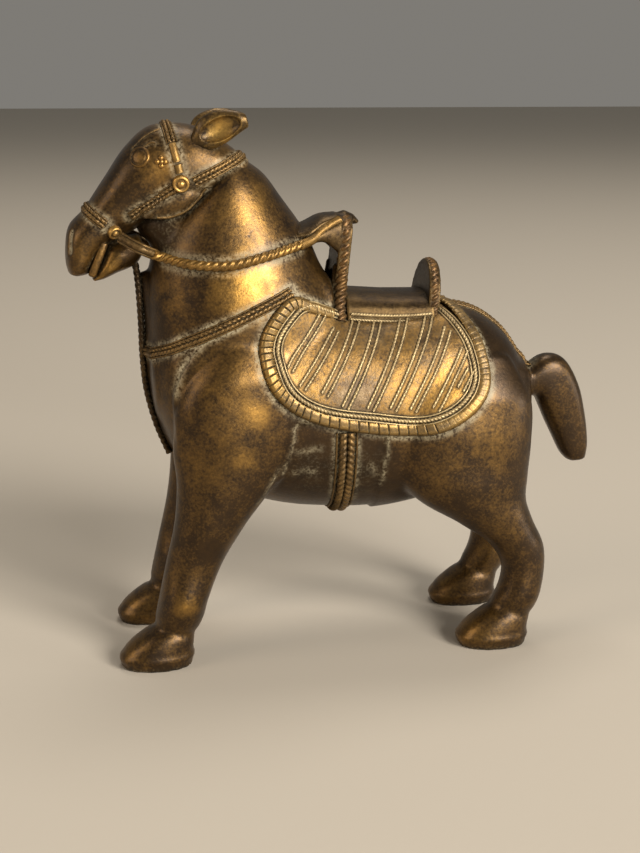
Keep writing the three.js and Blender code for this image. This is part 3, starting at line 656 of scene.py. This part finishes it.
# Golden bronze: small high pellets that fingers rub most
boss_bronze = bronze("rubbed_bronze_bosses", ["#523d1d", "#7b5f34"], "#c49d5c", 0.42, 0.4)
for side_name, side in SIDES.items():
    for boss_name, boss in (("eye", EYE), ("cheek_boss", CHEEK_BOSS), ("bit_boss", BIT_BOSS)):
        node = f"{side_name}_{boss_name}"
        boss_mesh = stood(turned(boss["profile"]), *from_side(head_skin, side, *boss["at"]))
        finish = head_bronze if boss_name == "eye" else boss_bronze
        fasten(joined(node + "_cast", [boss_mesh], finish), "bronze_worn", node)
    pellet = turned(PELLET)
    petals = [stood(pellet, *from_side(head_skin, side, *ROSETTE["at"]))]
    for petal in range(ROSETTE["petals"]):
        turn = petal * 2 * math.pi / ROSETTE["petals"]
        x = ROSETTE["at"][0] + ROSETTE["reach"] * math.cos(turn)
        z = ROSETTE["at"][1] + ROSETTE["reach"] * math.sin(turn)
        petals.append(stood(pellet, *from_side(head_skin, side, x, z)))
    fasten(joined(side_name + "_rosette", petals, head_bronze), "bronze_worn")

# Bridle straps and face lines
# Threads of wax, twisted in opposite hands and laid in pairs so that they read as a plait, each pair between
# two fine plain threads, pressed on the head and cast with it. The brow strap's lower half is a smooth bar,
# and single threads edge the forehead, the brow and the jowl.
STRAP = {"radius": 0.5, "pitch": 2.2, "edge": 0.2, "across": 1.1}
BROW = {"line": ((-36.9, 112.4), (-40.4, 127)), "reach": 84}
BROW_BARS = [(112.4, 115.3), (115.7, 119.6)]
BROW_BAR = {"radius": 1.0, "lift": -0.3}
HEADSTALL = {"line": ((-35.6, 110.6), (-17, 119.6)), "reach": 80}
NOSEBAND = {"line": ((-52.6, 101.1), (-60.4, 107.4)), "reach": 78}
CHEEK_LINE, CHEEK_STOPS = ((-38.4, 110.1), (-48.2, 103.8)), 8
FACE_LINES = [
    [(-48.4, 119.6, 6.2), (-46.2, 121.2, 6), (-44.2, 122.3, 5.8), (-42.3, 123.2, 5.6), (-41.2, 123.9, 5.4)],
    [(-45.6, 119.8, 8.5), (-44.4, 120.5, 8.5), (-43.3, 120.7, 8.5), (-42.3, 120.1, 8.5)],
]
FACE_LINE = {"radius": 0.24, "lift": 0.1}
JOWL = [(-31.4, 109.7), (-32.2, 107.5), (-33.9, 105.3), (-36.5, 103.4), (-39.1, 102.8), (-42.4, 102.9)]
JOWL_OUT = 8.5
JOWL_LINE = {"radius": 0.42, "lift": 0}
# Residue along a strap: how far to either side of its middle, and how much
STRAP_RESIDUE, CHEEK_RESIDUE, FACE_RESIDUE, JOWL_RESIDUE = (1.4, 0.75), (1.4, 0.7), (0, 0.5), (0.4, 0.8)
RESIDUE_EVERY = 3
# A rope's step, the steps of a curve between two of its points, the corners of its section, and how far a
# strand's waist and crown reach as shares of the radius
ROPE_STEP, ROPE_CURVE = 0.2, 24
ROUND_CORNERS, STRAND_CORNERS = 8, 7
STRAND_WAIST, STRAND_CROWN = 0.68, 0.32
PLAIT_STRANDS, PLAIT_CLOSE = 2, 0.95


def evenly(points, step):
    """Points at an even step along a smooth curve through the given points."""
    fine = []
    for before, start, end, after in zip([points[0], *points], points, points[1:], [*points[2:], points[-1]]):
        leave, arrive = start + (end - before) / 6, end - (after - start) / 6
        fine += geometry.interpolate_bezier(start, leave, arrive, end, ROPE_CURVE)[:-1]
    fine.append(points[-1])
    lengths = [0]
    for one, two in zip(fine, fine[1:]):
        lengths.append(lengths[-1] + (two - one).length)
    count = max(int(lengths[-1] * 1000 / step), 2)
    even, at = [], 0
    for stop in range(count + 1):
        want = lengths[-1] * stop / count
        while at < len(fine) - 2 and lengths[at + 1] < want:
            at += 1
        share = (want - lengths[at]) / max(lengths[at + 1] - lengths[at], 1e-9)
        even.append(fine[at].lerp(fine[at + 1], share))
    return even


def stepped(points, step):
    """Spots at an even step along a smooth curve, each with the way that the curve runs there."""
    spots = evenly(points, step)
    for at, spot in enumerate(spots):
        yield spot, spots[min(at + 1, len(spots) - 1)] - spots[max(at - 1, 0)]


def track(skin, points, step=ROPE_STEP, lift=0):
    """A run over a skin through given points on it: spot, normal and sideways direction at each step."""
    run = []
    for spot, along in stepped(points, step):
        near, normal, _, _ = skin.find_nearest(spot)
        run.append((near + normal * lift / 1000, normal, along.cross(normal).normalized()))
    return run


def girdle(skin, line, reach, stops=48):
    """A run where the plane of a strap's side-view line, square to the middle plane, cuts a skin. It turns by
    reach degrees to either side round the line's first end, from the left over the far end to the right."""
    heart, far = (mm(x, 0, z) for x, z in line)
    ahead = (far - heart).normalized()
    points = []
    for stop in range(stops + 1):
        turn = math.radians(2 * reach * stop / stops - reach)
        out = ahead * math.cos(turn) + Vector((0, math.sin(turn), 0))
        points.append(skin.ray_cast(heart + out * (CLEAR / 1000), -out)[0])
    return track(skin, points)


def thread(run, radius, across=0, lift=0.4, strands=0, pitch=1, hand=1):
    """A wax thread along a run, some way to its side and above it, round or twisted from strands."""
    ring = bpy.data.curves.new("ring", "CURVE")
    ring.dimensions = "2D"
    ring_line = ring.splines.new("POLY")
    ring_line.use_cyclic_u = True
    corners = STRAND_CORNERS * strands if strands else ROUND_CORNERS
    ring_line.points.add(corners - 1)
    for at, corner in enumerate(ring_line.points):
        turn = 2 * math.pi * at / corners
        reach = radius / 1000
        if strands:
            reach *= STRAND_WAIST + STRAND_CROWN * abs(math.cos(strands * turn / 2))
        corner.co = (reach * math.cos(turn), reach * math.sin(turn), 0, 1)
    ring_thing = bpy.data.objects.new("ring", ring)
    curve = bpy.data.curves.new("thread", "CURVE")
    curve.dimensions = "3D"
    curve.bevel_mode = "OBJECT"
    curve.bevel_object = ring_thing
    curve.use_fill_caps = True
    line = curve.splines.new("POLY")
    line.points.add(len(run) - 1)
    length, last = 0, None
    for corner, (spot, normal, sideways) in zip(line.points, run):
        place = spot + sideways * across / 1000 + normal * lift * radius / 1000
        length += (place - last).length * 1000 if last else 0
        last = place
        corner.co = (*place, 1)
        corner.tilt = hand * 2 * math.pi * length / pitch
    thing = bpy.data.objects.new("thread", curve)
    bpy.context.scene.collection.objects.link(thing)
    bpy.context.view_layer.update()
    mesh = settled(thing)
    bpy.data.objects.remove(ring_thing)
    return mesh


def plait(run, radius, pitch, edge, across):
    """Two threads twisted in opposite hands side by side, between two plain threads."""
    twist = {"radius": radius, "strands": PLAIT_STRANDS, "pitch": pitch}
    meshes = [thread(run, across=hand * radius * PLAIT_CLOSE, hand=hand, **twist) for hand in (-1, 1)]
    return meshes + [thread(run, edge, hand * across) for hand in (-1, 1)]


def dusted(run, half, amount):
    """Leaves residue on body and head along both edges of a strap."""
    places = [spot for spot, _, _ in run[::RESIDUE_EVERY]]
    powdered(body_mesh, body_spots, places, half, amount)
    powdered(head_mesh, head_spots, places, half, amount)


def strap(name, run, size, residue, slot, *nodes):
    """A plaited strap along a run, with residue at its edges, in place of its CAD nodes."""
    dusted(run, *residue)
    fasten(joined(name, plait(run, **size), strap_bronze), slot, *nodes)


# Brown bronze, golden on the crowns of the threads
strap_bronze = bronze("rubbed_bronze_threads", ["#33250f", "#5b4524"], "#b8935a", 0.2, 0.38)
front_whole = bmesh.new()
front_whole.from_mesh(body_mesh)
front_whole.from_mesh(head_mesh)
front_skin = BVHTree.FromBMesh(front_whole)
front_whole.free()
brow_run = girdle(head_skin, **BROW)
brow_top = [step for step in brow_run if step[0].z * 1000 > BROW_BARS[-1][1]]
brow_bars = []
for low, high in BROW_BARS:
    for side in SIDES.values():
        bar_run = [step for step in brow_run if low < step[0].z * 1000 < high and step[0].y * side > 0]
        brow_bars.append(thread(bar_run, **BROW_BAR))
dusted(brow_run, *STRAP_RESIDUE)
fasten(joined("brow_plait", plait(brow_top, **STRAP), strap_bronze), "bronze_brown", "brow_strap")
fasten(joined("brow_bars", brow_bars, boss_bronze), "bronze_worn")
headstall_run = girdle(front_skin, **HEADSTALL)
strap("headstall_plait", headstall_run, STRAP, STRAP_RESIDUE, "bronze_brown", "headstall")
nose_run = girdle(head_skin, **NOSEBAND)
strap("nose_plait", nose_run, STRAP, STRAP_RESIDUE, "bronze_brown", "noseband")
for side_name, side in SIDES.items():
    cheek_line = between(*(Vector(end) for end in CHEEK_LINE), CHEEK_STOPS)
    cheek_run = track(head_skin, [from_side(head_skin, side, *spot)[0] for spot in cheek_line])
    strap(side_name + "_cheek_plait", cheek_run, STRAP, CHEEK_RESIDUE, "bronze_brown",
          side_name + "_cheek_strap")
    face_meshes = []
    for face_line in FACE_LINES:
        face_run = track(head_skin, [mm(x, side * out, z) for x, z, out in face_line])
        face_meshes.append(thread(face_run, **FACE_LINE))
        dusted(face_run, *FACE_RESIDUE)
    jowl_points = [head_skin.find_nearest(mm(x, side * JOWL_OUT, z))[0] for x, z in JOWL]
    jowl_run = track(head_skin, jowl_points)
    face_meshes.append(thread(jowl_run, **JOWL_LINE))
    dusted(jowl_run, *JOWL_RESIDUE)
    fasten(joined(side_name + "_face_lines", face_meshes, strap_bronze), "bronze_dark")

# Reins
# A three-strand twist of wax thread on each side, from the bit boss round the neck to the pommel's top.
# It starts as a flat strap, and past the neck it runs smooth and free into the pommel.
REIN = {"radius": 1.18, "lift": 0, "strands": 3, "pitch": 5.4}
REIN_FROM_BIT = [(-50.6, 99.4, 7.9), (-49.4, 98.7, 8.8), (-45.8, 96.9, 10.8)]
REIN_ON_NECK = [(-41, 94.7), (-35.4, 93.7), (-27, 93.6), (-18.3, 95.5), (-12.5, 96.8)]
REIN_OFF_NECK = 0.7
REIN_TO_POMMEL = [(-8, 97.8, 7.9), (-4.8, 100.1, 6.2), (-0.8, 102.2, 4.8)]
REIN_FLAT = {"length": 10, "radius": 0.85, "edge": 0.34, "across": 0.95}
REIN_SMOOTH = {"length": 12, "slim": 0.95}
# How many rope steps the twist runs into the flat strap and into the smooth end
REIN_LAP = 6
REIN_RESIDUE = (1.9, 0.55)


def free_run(points):
    """A run along a free path, with its normal turned outwards from the middle plane."""
    run = []
    for spot, along in stepped(points, ROPE_STEP):
        along.normalize()
        normal = Vector((0, math.copysign(1, spot.y), 0))
        normal = (normal - along * normal.dot(along)).normalized()
        run.append((spot, normal, along.cross(normal).normalized()))
    return run


# Golden brown bronze: the reins stand furthest out and are rubbed along their whole length
rein_bronze = bronze("rubbed_bronze_reins", ["#3d2b14", "#684e26"], "#c09650", 0.32, 0.36)
for side_name, side in SIDES.items():
    rein_points = [mm(x, side * out, z) for x, z, out in REIN_FROM_BIT]
    for x, z in REIN_ON_NECK:
        rein_points.append(from_side(front_skin, side, x, z)[0] + mm(0, side * REIN_OFF_NECK, 0))
    rein_points += [mm(x, side * out, z) for x, z, out in REIN_TO_POMMEL]
    rein_run = free_run(rein_points)
    flat, smooth = (int(part["length"] / ROPE_STEP) for part in (REIN_FLAT, REIN_SMOOTH))
    rein_meshes = [thread(rein_run[flat - REIN_LAP:-smooth], hand=side, **REIN),
                   thread(rein_run[-smooth - REIN_LAP:], REIN["radius"] * REIN_SMOOTH["slim"], lift=0)]
    flat_meshes = [thread(rein_run[:flat], REIN_FLAT["radius"], lift=0)]
    for hand in (-1, 1):
        flat_meshes.append(thread(rein_run[:flat], REIN_FLAT["edge"], hand * REIN_FLAT["across"], lift=0))
    fasten(joined(side_name + "_rein_strap", flat_meshes, strap_bronze), "bronze_worn")
    dusted(rein_run[flat:-smooth], *REIN_RESIDUE)
    fasten(joined(side_name + "_rein_twist", rein_meshes, rein_bronze), "bronze_worn", side_name + "_rein")

# Breast collar and front strap
# The same plaited threads run round the base of the neck to the cloth, and a strap of two dark threads hangs
# from the chin down the neck to the chest, where the collar crosses it.
COLLAR = {"line": ((-12, 87.8), (-50, 70.3)), "reach": 84, "stops": 96}
COLLAR_STRAP = {"radius": 0.54, "pitch": 2.3, "edge": 0.22, "across": 1.2}
COLLAR_RESIDUE = (1.6, 0.95)
FRONT_STRAP = [(-48.1, 95.6), (-47.4, 92.6), (-46.9, 89), (-46.6, 84), (-46.4, 78), (-46.3, 71), (-45.6, 63),
               (-43.6, 54.8), (-40.8, 47.6)]
FRONT_TWIST = {"radius": 0.85, "lift": 0, "strands": 2, "pitch": 3.0}


def level_run(points):
    """A run along a free path, whose threads lie side by side across the horse."""
    return [(spot, Vector((1, 0, 0)), ACROSS) for spot in evenly(points, ROPE_STEP)]


collar_run = girdle(front_skin, **COLLAR)
strap("breast_collar_plait", collar_run, COLLAR_STRAP, COLLAR_RESIDUE, "bronze_worn",
      "left_breast_collar", "right_breast_collar")

# Dark bronze: places that no hand reaches keep their whole film, and its darkness paints shade on pommel and
# cantle
dark_bronze_and_shade = bronze("dark_bronze_painted_shade", ["#261b0e", "#40301b"], "#9c8052", 0.08, 0.42, blotch=0.6,
                     shine=0.8)
front_run = level_run([mm(x, 0, z) for x, z in FRONT_STRAP])
front_meshes = [thread(front_run, across=hand * FRONT_TWIST["radius"] * PLAIT_CLOSE, hand=hand, **FRONT_TWIST)
                for hand in (-1, 1)]
fasten(joined("front_strap_plait", front_meshes, dark_bronze_and_shade), "bronze_dark", "martingale")

# Girth and crupper
# The girth is two broad plaits under the belly between fine threads; the crupper is a plait along the croup
# from the cloth to the root of the tail.
GIRTH = {"line": ((-1.45, 56), (-1.45, 28)), "reach": 89}
GIRTH_STRAP = {"radius": 0.98, "pitch": 3.0, "edge": 0.3, "across": 2.3}
GIRTH_RESIDUE = (2.7, 0.6)
CRUPPER_STOPS, CRUPPER_ABOVE = [22.5, 28, 34, 40, 44.5, 47], 90
CRUPPER_STRAP = {"radius": 0.66, "pitch": 2.4, "edge": 0.3, "across": 1.6}
CRUPPER_RESIDUE = (2, 0.8)
DOWN = Vector((0, 0, -1))

girth_run = girdle(body_skin, **GIRTH)
strap("girth_plaits", girth_run, GIRTH_STRAP, GIRTH_RESIDUE, "bronze_worn", "girth")
crupper_points = [body_skin.ray_cast(mm(x, 0, CRUPPER_ABOVE), DOWN)[0] for x in CRUPPER_STOPS]
crupper_run = track(body_skin, crupper_points)
strap("crupper_plait", crupper_run, CRUPPER_STRAP, CRUPPER_RESIDUE, "bronze_brown", "crupper")

# Saddle cloth
# A sheet of wax laid over the back and cast with it: a panel with pairs of fine raised threads, a braid of
# beads between two threads round it, and a flat border with the strands of a fringe cut into it.
CLOTH_EDGE = [(-3.8, 82.8), (-8.6, 84.8), (-13.6, 86.2), (-18, 82.6), (-21, 77), (-20.6, 70), (-17.5, 64),
              (-11.5, 59.4), (-2, 56.3), (10.6, 54.6), (20, 55.2), (28, 59.7), (32, 66), (31.2, 74),
              (28.9, 78.9), (27, 81.2), (25.6, 82.6)]
CLOTH_TOP = [(22, 81), (14, 80.4), (6, 80.4), (-2, 81)]
CLOTH_MIDDLE = (6, 72)
CLOTH_STEP = 0.5
PANEL = {"inset": 2.8, "lift": 1.0, "thick": 1.3, "around": 520, "inward": 60}
# The ridge of the back, where the cloth's two halves meet: how far aside, and a height above the horse
RIDGE = {"aside": 0.3, "above": 150}
# The border starts at a share of its lift at its outer and inner edges, and rises steeply from there.
# Its cuts begin a little way in, and slant.
FRINGE = {"width": 3.0, "lift": 1.5, "cut": 0.3, "notch": 0.13, "across": 8, "thick": 1.6, "step": 0.1,
          "outer": (0.3, 3.2), "inner": (0.75, 1.2), "begin": (0.2, 5), "slant": 0.3, "grime_and_shade": 1.3}
# Zones of the fringe: below which x, between which heights, the spacing of its cuts and their depth. The cuts
# are close at both ends and wide below, and worn off at one corner.
FRINGE_ZONES = [(-11, 0, 200, 1.8, 1), (0, 80, 200, 2.2, 0.4), (20, 0, 63, 2.35, 1), (200, 0, 66, 1.5, 0.12),
                (200, 0, 200, 1.5, 0.4)]
FRINGE_RESIDUE = (0.5, 0.9)
BRAID = {"radius": 0.5, "lift": 0.2, "strands": 2, "pitch": 1.7}
BRAID_EDGE = {"radius": 0.2, "lift": 0.6}
BRAID_INSET, BRAID_ACROSS = 4.0, 0.92
EDGE_EVERY = 6
THREAD = {"radius": 0.31, "lift": 0.3, "strands": 2, "pitch": 1.9}
THREAD_HALF, THREAD_STOPS = 0.74, 12
# Grime and painted shade beside the panel's threads and braid: how far from a thread's middle, amount, spread
THREAD_GRIME_AND_SHADE, BRAID_GRIME_AND_SHADE = (0.41, 0.9, 0.16), [(0.62, 1, 0.17), (1.27, 1, 0.17)]
GRIME_EVERY = 2
THREAD_PAIRS = [((-14.6, 70.2), (-6.2, 82.2)), ((-11.8, 66.3), (-3.2, 77.6)), ((-6.8, 64.6), (3.0, 80.4)),
                ((-2.2, 61.6), (7.6, 79.4)), ((3.6, 61.0), (13.6, 79.4)), ((8.8, 60.8), (19.3, 79.6)),
                ((13.5, 60.4), (22.9, 77.0)), ((18.8, 60.6), (26.2, 73.0)), ((24.4, 64.6), (27.2, 68.6))]
# Spots that make the panel darker along its top and in its lower middle, and brighter at its lower right
CLOTH_RUBS = [((1, -21.5, 65), 10, -0.6), ((9, -22, 61), 6, -0.3), ((-14, -21, 72), 9, -0.05),
              ((25, -20, 64), 9, 0.2), ((17, -20, 72), 4, -0.4), ((6, -15, 77), 7, -0.2),
              ((-9, -16, 78), 7, -0.15), ((18, -15, 77), 6, -0.15)]
BORDER_RUBS = [((27, -20, 58), 8, 0.6), ((-19, -20, 68), 6, 0.35)]


def on_back(side, x, z):
    """The cloth's bed on one side: where a line from the side meets the body, or its ridge."""
    spot = cloth_bed.ray_cast(mm(x, side * CLEAR, z), Vector((0, -side, 0)))[0]
    return spot or cloth_bed.ray_cast(mm(x, side * RIDGE["aside"], RIDGE["above"]), DOWN)[0]


def set_in(points, inset):
    """A side-view outline drawn in towards the cloth's middle."""
    middle = Vector(CLOTH_MIDDLE)
    return [spot + (middle - spot).normalized() * inset for spot in points]


def side_line(points, step):
    """Points at an even step along a smooth side-view line."""
    return [spot.xz * 1000 for spot in evenly([mm(x, 0, z) for x, z in points], step)]


def laid(sheet, side, thick):
    """A closed mesh from a sheet on one side of the body, thickened towards the body."""
    bmesh.ops.remove_doubles(sheet, verts=sheet.verts, dist=1e-6)
    bmesh.ops.recalc_face_normals(sheet, faces=sheet.faces)
    if sum(face.normal.y for face in sheet.faces) * side < 0:
        bmesh.ops.reverse_faces(sheet, faces=sheet.faces)
    thing = show("sheet", made("sheet", sheet))
    wall = thing.modifiers.new("wall", "SOLIDIFY")
    wall.thickness = thick / 1000
    wall.offset = -1
    return settled(thing)


def soiled_and_shaded(run, half, amount, spread):
    """Leaves grime and painted shade on the panel at some distance to either side of a run."""
    places = [spot for spot, _, _ in run[::GRIME_EVERY]]
    powdered(panel_mesh, panel_spots, places, half, amount, spread, "grime_and_shade")


# Golden bronze, unevenly worn: the panel is the place that hands hold
cloth_bronze = bronze("rubbed_bronze_cloth", ["#412f19", "#7c6748"], "#ba8d40", 0.3, 0.36, CLOTH_RUBS,
                      edge=0.1, blotch=1.5)
# Brown bronze with golden corners
border_bronze = bronze("patinated_bronze_border", ["#463824", "#766344"], "#b69252", 0.16, 0.38, BORDER_RUBS)
# Pale bronze: fine threads that hold dried polish, painted paler still as the highlights along them
pale_bronze_and_highlight = bronze("pale_bronze_threads_painted_highlight", ["#6b5838", "#b09a72"], "#dcc694", 0.3, 0.44, blotch=1.6,
                     shine=0.3)
cloth_edge = side_line(CLOTH_EDGE, CLOTH_STEP)
panel_edge = set_in(cloth_edge, PANEL["inset"]) + [Vector(spot) for spot in CLOTH_TOP]
panel_edge.append(panel_edge[0])
for side_name, side in SIDES.items():
    panel = bmesh.new()
    bmesh.ops.create_grid(panel, x_segments=PANEL["around"], y_segments=PANEL["inward"], size=0.5)
    for corner in panel.verts:
        along = (corner.co.x + 0.5) * (len(panel_edge) - 1)
        at = min(int(along), len(panel_edge) - 2)
        rim = panel_edge[at].lerp(panel_edge[at + 1], along - at)
        bed = on_back(side, *rim.lerp(Vector(CLOTH_MIDDLE), corner.co.y + 0.5))
        corner.co = bed + cloth_bed.find_nearest(bed)[1] * PANEL["lift"] / 1000
    panel_mesh = laid(panel, side, PANEL["thick"])
    panel_spots = ready_for_residue(panel_mesh)
    fasten(show(side_name + "_cloth", panel_mesh, cloth_bronze), "bronze_worn",
           *(["saddle_cloth"] if side < 0 else []))

    thread_meshes = []
    for low, high in THREAD_PAIRS:
        low, high = Vector(low), Vector(high)
        aside = Vector((high.y - low.y, low.x - high.x)).normalized() * THREAD_HALF
        for hand in (-1, 1):
            line = between(low + aside * hand, high + aside * hand, THREAD_STOPS)
            run = track(cloth_bed, [on_back(side, *spot) for spot in line], lift=PANEL["lift"])
            thread_meshes.append(thread(run, hand=hand, **THREAD))
            soiled_and_shaded(run, *THREAD_GRIME_AND_SHADE)
    braid_points = [on_back(side, *spot) for spot in set_in(cloth_edge, BRAID_INSET)[::EDGE_EVERY]]
    braid_run = track(cloth_bed, braid_points, lift=PANEL["lift"])
    thread_meshes.append(thread(braid_run, **BRAID))
    thread_meshes += [thread(braid_run, across=hand * BRAID_ACROSS, **BRAID_EDGE) for hand in (-1, 1)]
    for braid_grime_and_shade in BRAID_GRIME_AND_SHADE:
        soiled_and_shaded(braid_run, *braid_grime_and_shade)
    fasten(joined(side_name + "_cloth_threads", thread_meshes, pale_bronze_and_highlight), "bronze_worn")

    rim_run = track(cloth_bed, [on_back(side, *spot) for spot in cloth_edge[::EDGE_EVERY]], FRINGE["step"])
    dusted(rim_run, *FRINGE_RESIDUE)
    ticks, phase = [], 0
    for spot, _, _ in rim_run:
        x, _, z = spot * 1000
        pitch, depth = next(zone[3:] for zone in FRINGE_ZONES if x < zone[0] and zone[1] < z < zone[2])
        phase += FRINGE["step"] / pitch
        ticks.append((phase, pitch, depth))
    fringe = bmesh.new()
    bmesh.ops.create_grid(fringe, x_segments=len(rim_run) - 1, y_segments=FRINGE["across"], size=0.5)
    grime_and_shade = fringe.verts.layers.float.new("grime_and_shade")
    for corner in fringe.verts:
        at = round((corner.co.x + 0.5) * (len(rim_run) - 1))
        inward = corner.co.y + 0.5
        spot, normal, sideways = rim_run[at]
        to_middle = mm(CLOTH_MIDDLE[0], 0, CLOTH_MIDDLE[1]) - spot
        inner_way = sideways if to_middle.dot(sideways) > 0 else -sideways
        near, normal, _, _ = cloth_bed.find_nearest(spot + inner_way * inward * FRINGE["width"] / 1000)
        phase, pitch, depth = ticks[at]
        notch = bell(((phase + inward * FRINGE["slant"]) % 1 - 0.5) * pitch / FRINGE["notch"])
        (outer, outer_rise), (inner, inner_rise) = FRINGE["outer"], FRINGE["inner"]
        crown = FRINGE["lift"] * min(outer + outer_rise * inward, 1, inner + inner_rise * (1 - inward))
        cut = FRINGE["cut"] * depth * held(inward * FRINGE["begin"][1] - FRINGE["begin"][0])
        corner.co = near + normal * (crown - cut * notch) / 1000
        corner[grime_and_shade] = FRINGE["grime_and_shade"] * depth * notch
    border_mesh = laid(fringe, side, FRINGE["thick"])
    fasten(joined(side_name + "_cloth_border", [border_mesh], border_bronze), "bronze_brown",
           *(["cloth_border"] if side < 0 else []))

# Saddle: seat, pommel and cantle
# The seat is a smooth dome of wax with two twisted cords along each lower edge; pommel and cantle are tongues
# set upright across it, each edged with a thick twisted thread, the pommel with a hooked cap.
SEAT = {"from": 0.2, "to": 20.6, "half": 10.5, "eaves": 80.1, "rise": [6.0, 5.2, 5.0], "base": 78.4,
        "power": 2.4, "along": 40, "around": 48}
SEAT_CORD = [(0.9, 80.7), (5.3, 80.3), (10.2, 80.0), (15.6, 80.0), (20, 80.3)]
SEAT_CORD_SIZE = {"radius": 0.38, "lift": 0, "strands": 2, "pitch": 1.4}
SEAT_CORD_ACROSS, SEAT_CORD_OUT = 0.6, 0.1
POMMEL = {"half": 6.4, "round": 4.5, "foot": (-1.9, 76), "top": 103.4, "lean": 0.107, "edge": 1.6,
          "pitch": 5.2, "spread": 5.2, "low": 3.4, "flare": 14}
REIN_WEB = [(-11, 100.4, -11, 97, 7.4), (-8, 101.6, -8, 97.2, 7.6), (-4.8, 103.2, -4.8, 99.2, 6.3),
            (-1.2, 103.6, -1.2, 100.8, 4.9)]
GUSSET = [(-7.2, 98.6, -7.2, 97.2, 0.9, 7.4), (-4.8, 100.2, -4.6, 97.2, 1.1, 6.4),
          (-0.4, 102, -1, 94.4, 1.4, 5.2)]
POMMEL_FOOT = [(-3.9, 78.5, 0.6, 78.5, 1.2, 9.6), (-3.6, 82, 0.5, 82, 1.2, 7.8), (-3, 87, 0.4, 87, 1.2, 5.6),
               (-2.3, 92, 0.5, 92, 1, 4.6)]
CANTLE = {"half": 9.8, "round": 10.5, "foot": (20.1, 78), "top": 92.3, "lean": 0.118, "edge": 1.4,
          "pitch": 4.2, "spread": 0.6, "low": 1.6, "flare": 2}
WEB_DOME = (0.5, 0.5)
UPRIGHT_WAX = {"grain": 0.26, "soften": 5}
# The edge's rope: how far in it sits as a share of its radius, its strands, and the steps of its outline
EDGE_INSET, EDGE_STRANDS = 0.75, 3
FLARE_STOPS, ARCH_STOPS = 6, 16

seat_shell = bmesh.new()
bmesh.ops.create_grid(seat_shell, x_segments=SEAT["along"], y_segments=SEAT["around"], size=0.5)
for corner in seat_shell.verts:
    along, across = corner.co.x + 0.5, corner.co.y * 2
    low, mid, high = SEAT["rise"]
    rise = low + (mid - low) * min(along * 2, 1) + (high - mid) * max(along * 2 - 1, 0)
    arch = max(1 - abs(across) ** SEAT["power"], 0) ** (1 / SEAT["power"])
    x = SEAT["from"] + (SEAT["to"] - SEAT["from"]) * along
    corner.co = mm(x, SEAT["half"] * across, SEAT["eaves"] + rise * arch)
seat_rim = [edge for edge in seat_shell.edges if edge.is_boundary]
for wall_corner in bmesh.ops.extrude_edge_only(seat_shell, edges=seat_rim)["geom"]:
    if isinstance(wall_corner, bmesh.types.BMVert):
        wall_corner.co.z = SEAT["base"] / 1000
bmesh.ops.holes_fill(seat_shell, edges=[edge for edge in seat_shell.edges if edge.is_boundary])
bmesh.ops.recalc_face_normals(seat_shell, faces=seat_shell.faces)
seat_cords = []
for side in SIDES.values():
    cord_points = [mm(x, side * (SEAT["half"] + SEAT_CORD_OUT), z) for x, z in SEAT_CORD]
    cord_run = free_run(cord_points)
    for hand in (-1, 1):
        seat_cords.append(thread(cord_run, across=hand * SEAT_CORD_ACROSS, hand=hand, **SEAT_CORD_SIZE))
fasten(show("seat_cast", made("seat", seat_shell), dark_bronze_and_shade), "bronze_dark", "saddle_seat")
fasten(joined("seat_cords", seat_cords, pale_bronze_and_highlight), "bronze_worn")

# Brown bronze, a little golden on the crowns of the rope
edge_bronze = bronze("brown_bronze_saddle_edge", ["#3a2814", "#5c4426"], "#a97e46", 0.14, 0.4, edge=0.25)
for upright_name, upright in (("pommel", POMMEL), ("cantle", CANTLE)):
    upright_forms = [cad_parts[upright_name].data]
    if upright_name == "pommel":
        upright_forms.append(loft(REIN_WEB, WEB_DOME))
        upright_forms += [loft(form, side=side) for form in (GUSSET, POMMEL_FOOT) for side in SIDES.values()]
    upright_mesh = fused(upright_forms, **UPRIGHT_WAX)
    foot_x, foot_z = upright["foot"]
    inset = upright["edge"] * EDGE_INSET
    half, arch = upright["half"] - inset, upright["round"] - inset
    spring = upright["top"] - foot_z - upright["round"]
    flare = [(-half - upright["spread"] * (1 - stop / FLARE_STOPS) ** 2,
              upright["low"] + upright["flare"] * stop / FLARE_STOPS) for stop in range(FLARE_STOPS + 1)]
    turns = [math.pi * (1 - stop / ARCH_STOPS) for stop in range(ARCH_STOPS + 1)]
    outline = flare + [(half * math.cos(turn), spring + arch * math.sin(turn)) for turn in turns]
    outline += [(-across, up) for across, up in reversed(flare)]
    lean = Matrix.Rotation(upright["lean"], 3, "Y")
    edge_run = level_run([lean @ mm(0, across, up) + mm(foot_x, 0, foot_z) for across, up in outline])
    edge_rope = thread(edge_run, upright["edge"], lift=0, strands=EDGE_STRANDS, pitch=upright["pitch"])
    fasten(joined(upright_name + "_cast", [upright_mesh], dark_bronze_and_shade), "bronze_dark", upright_name)
    fasten(joined(upright_name + "_edge", [edge_rope], edge_bronze), "bronze_worn")
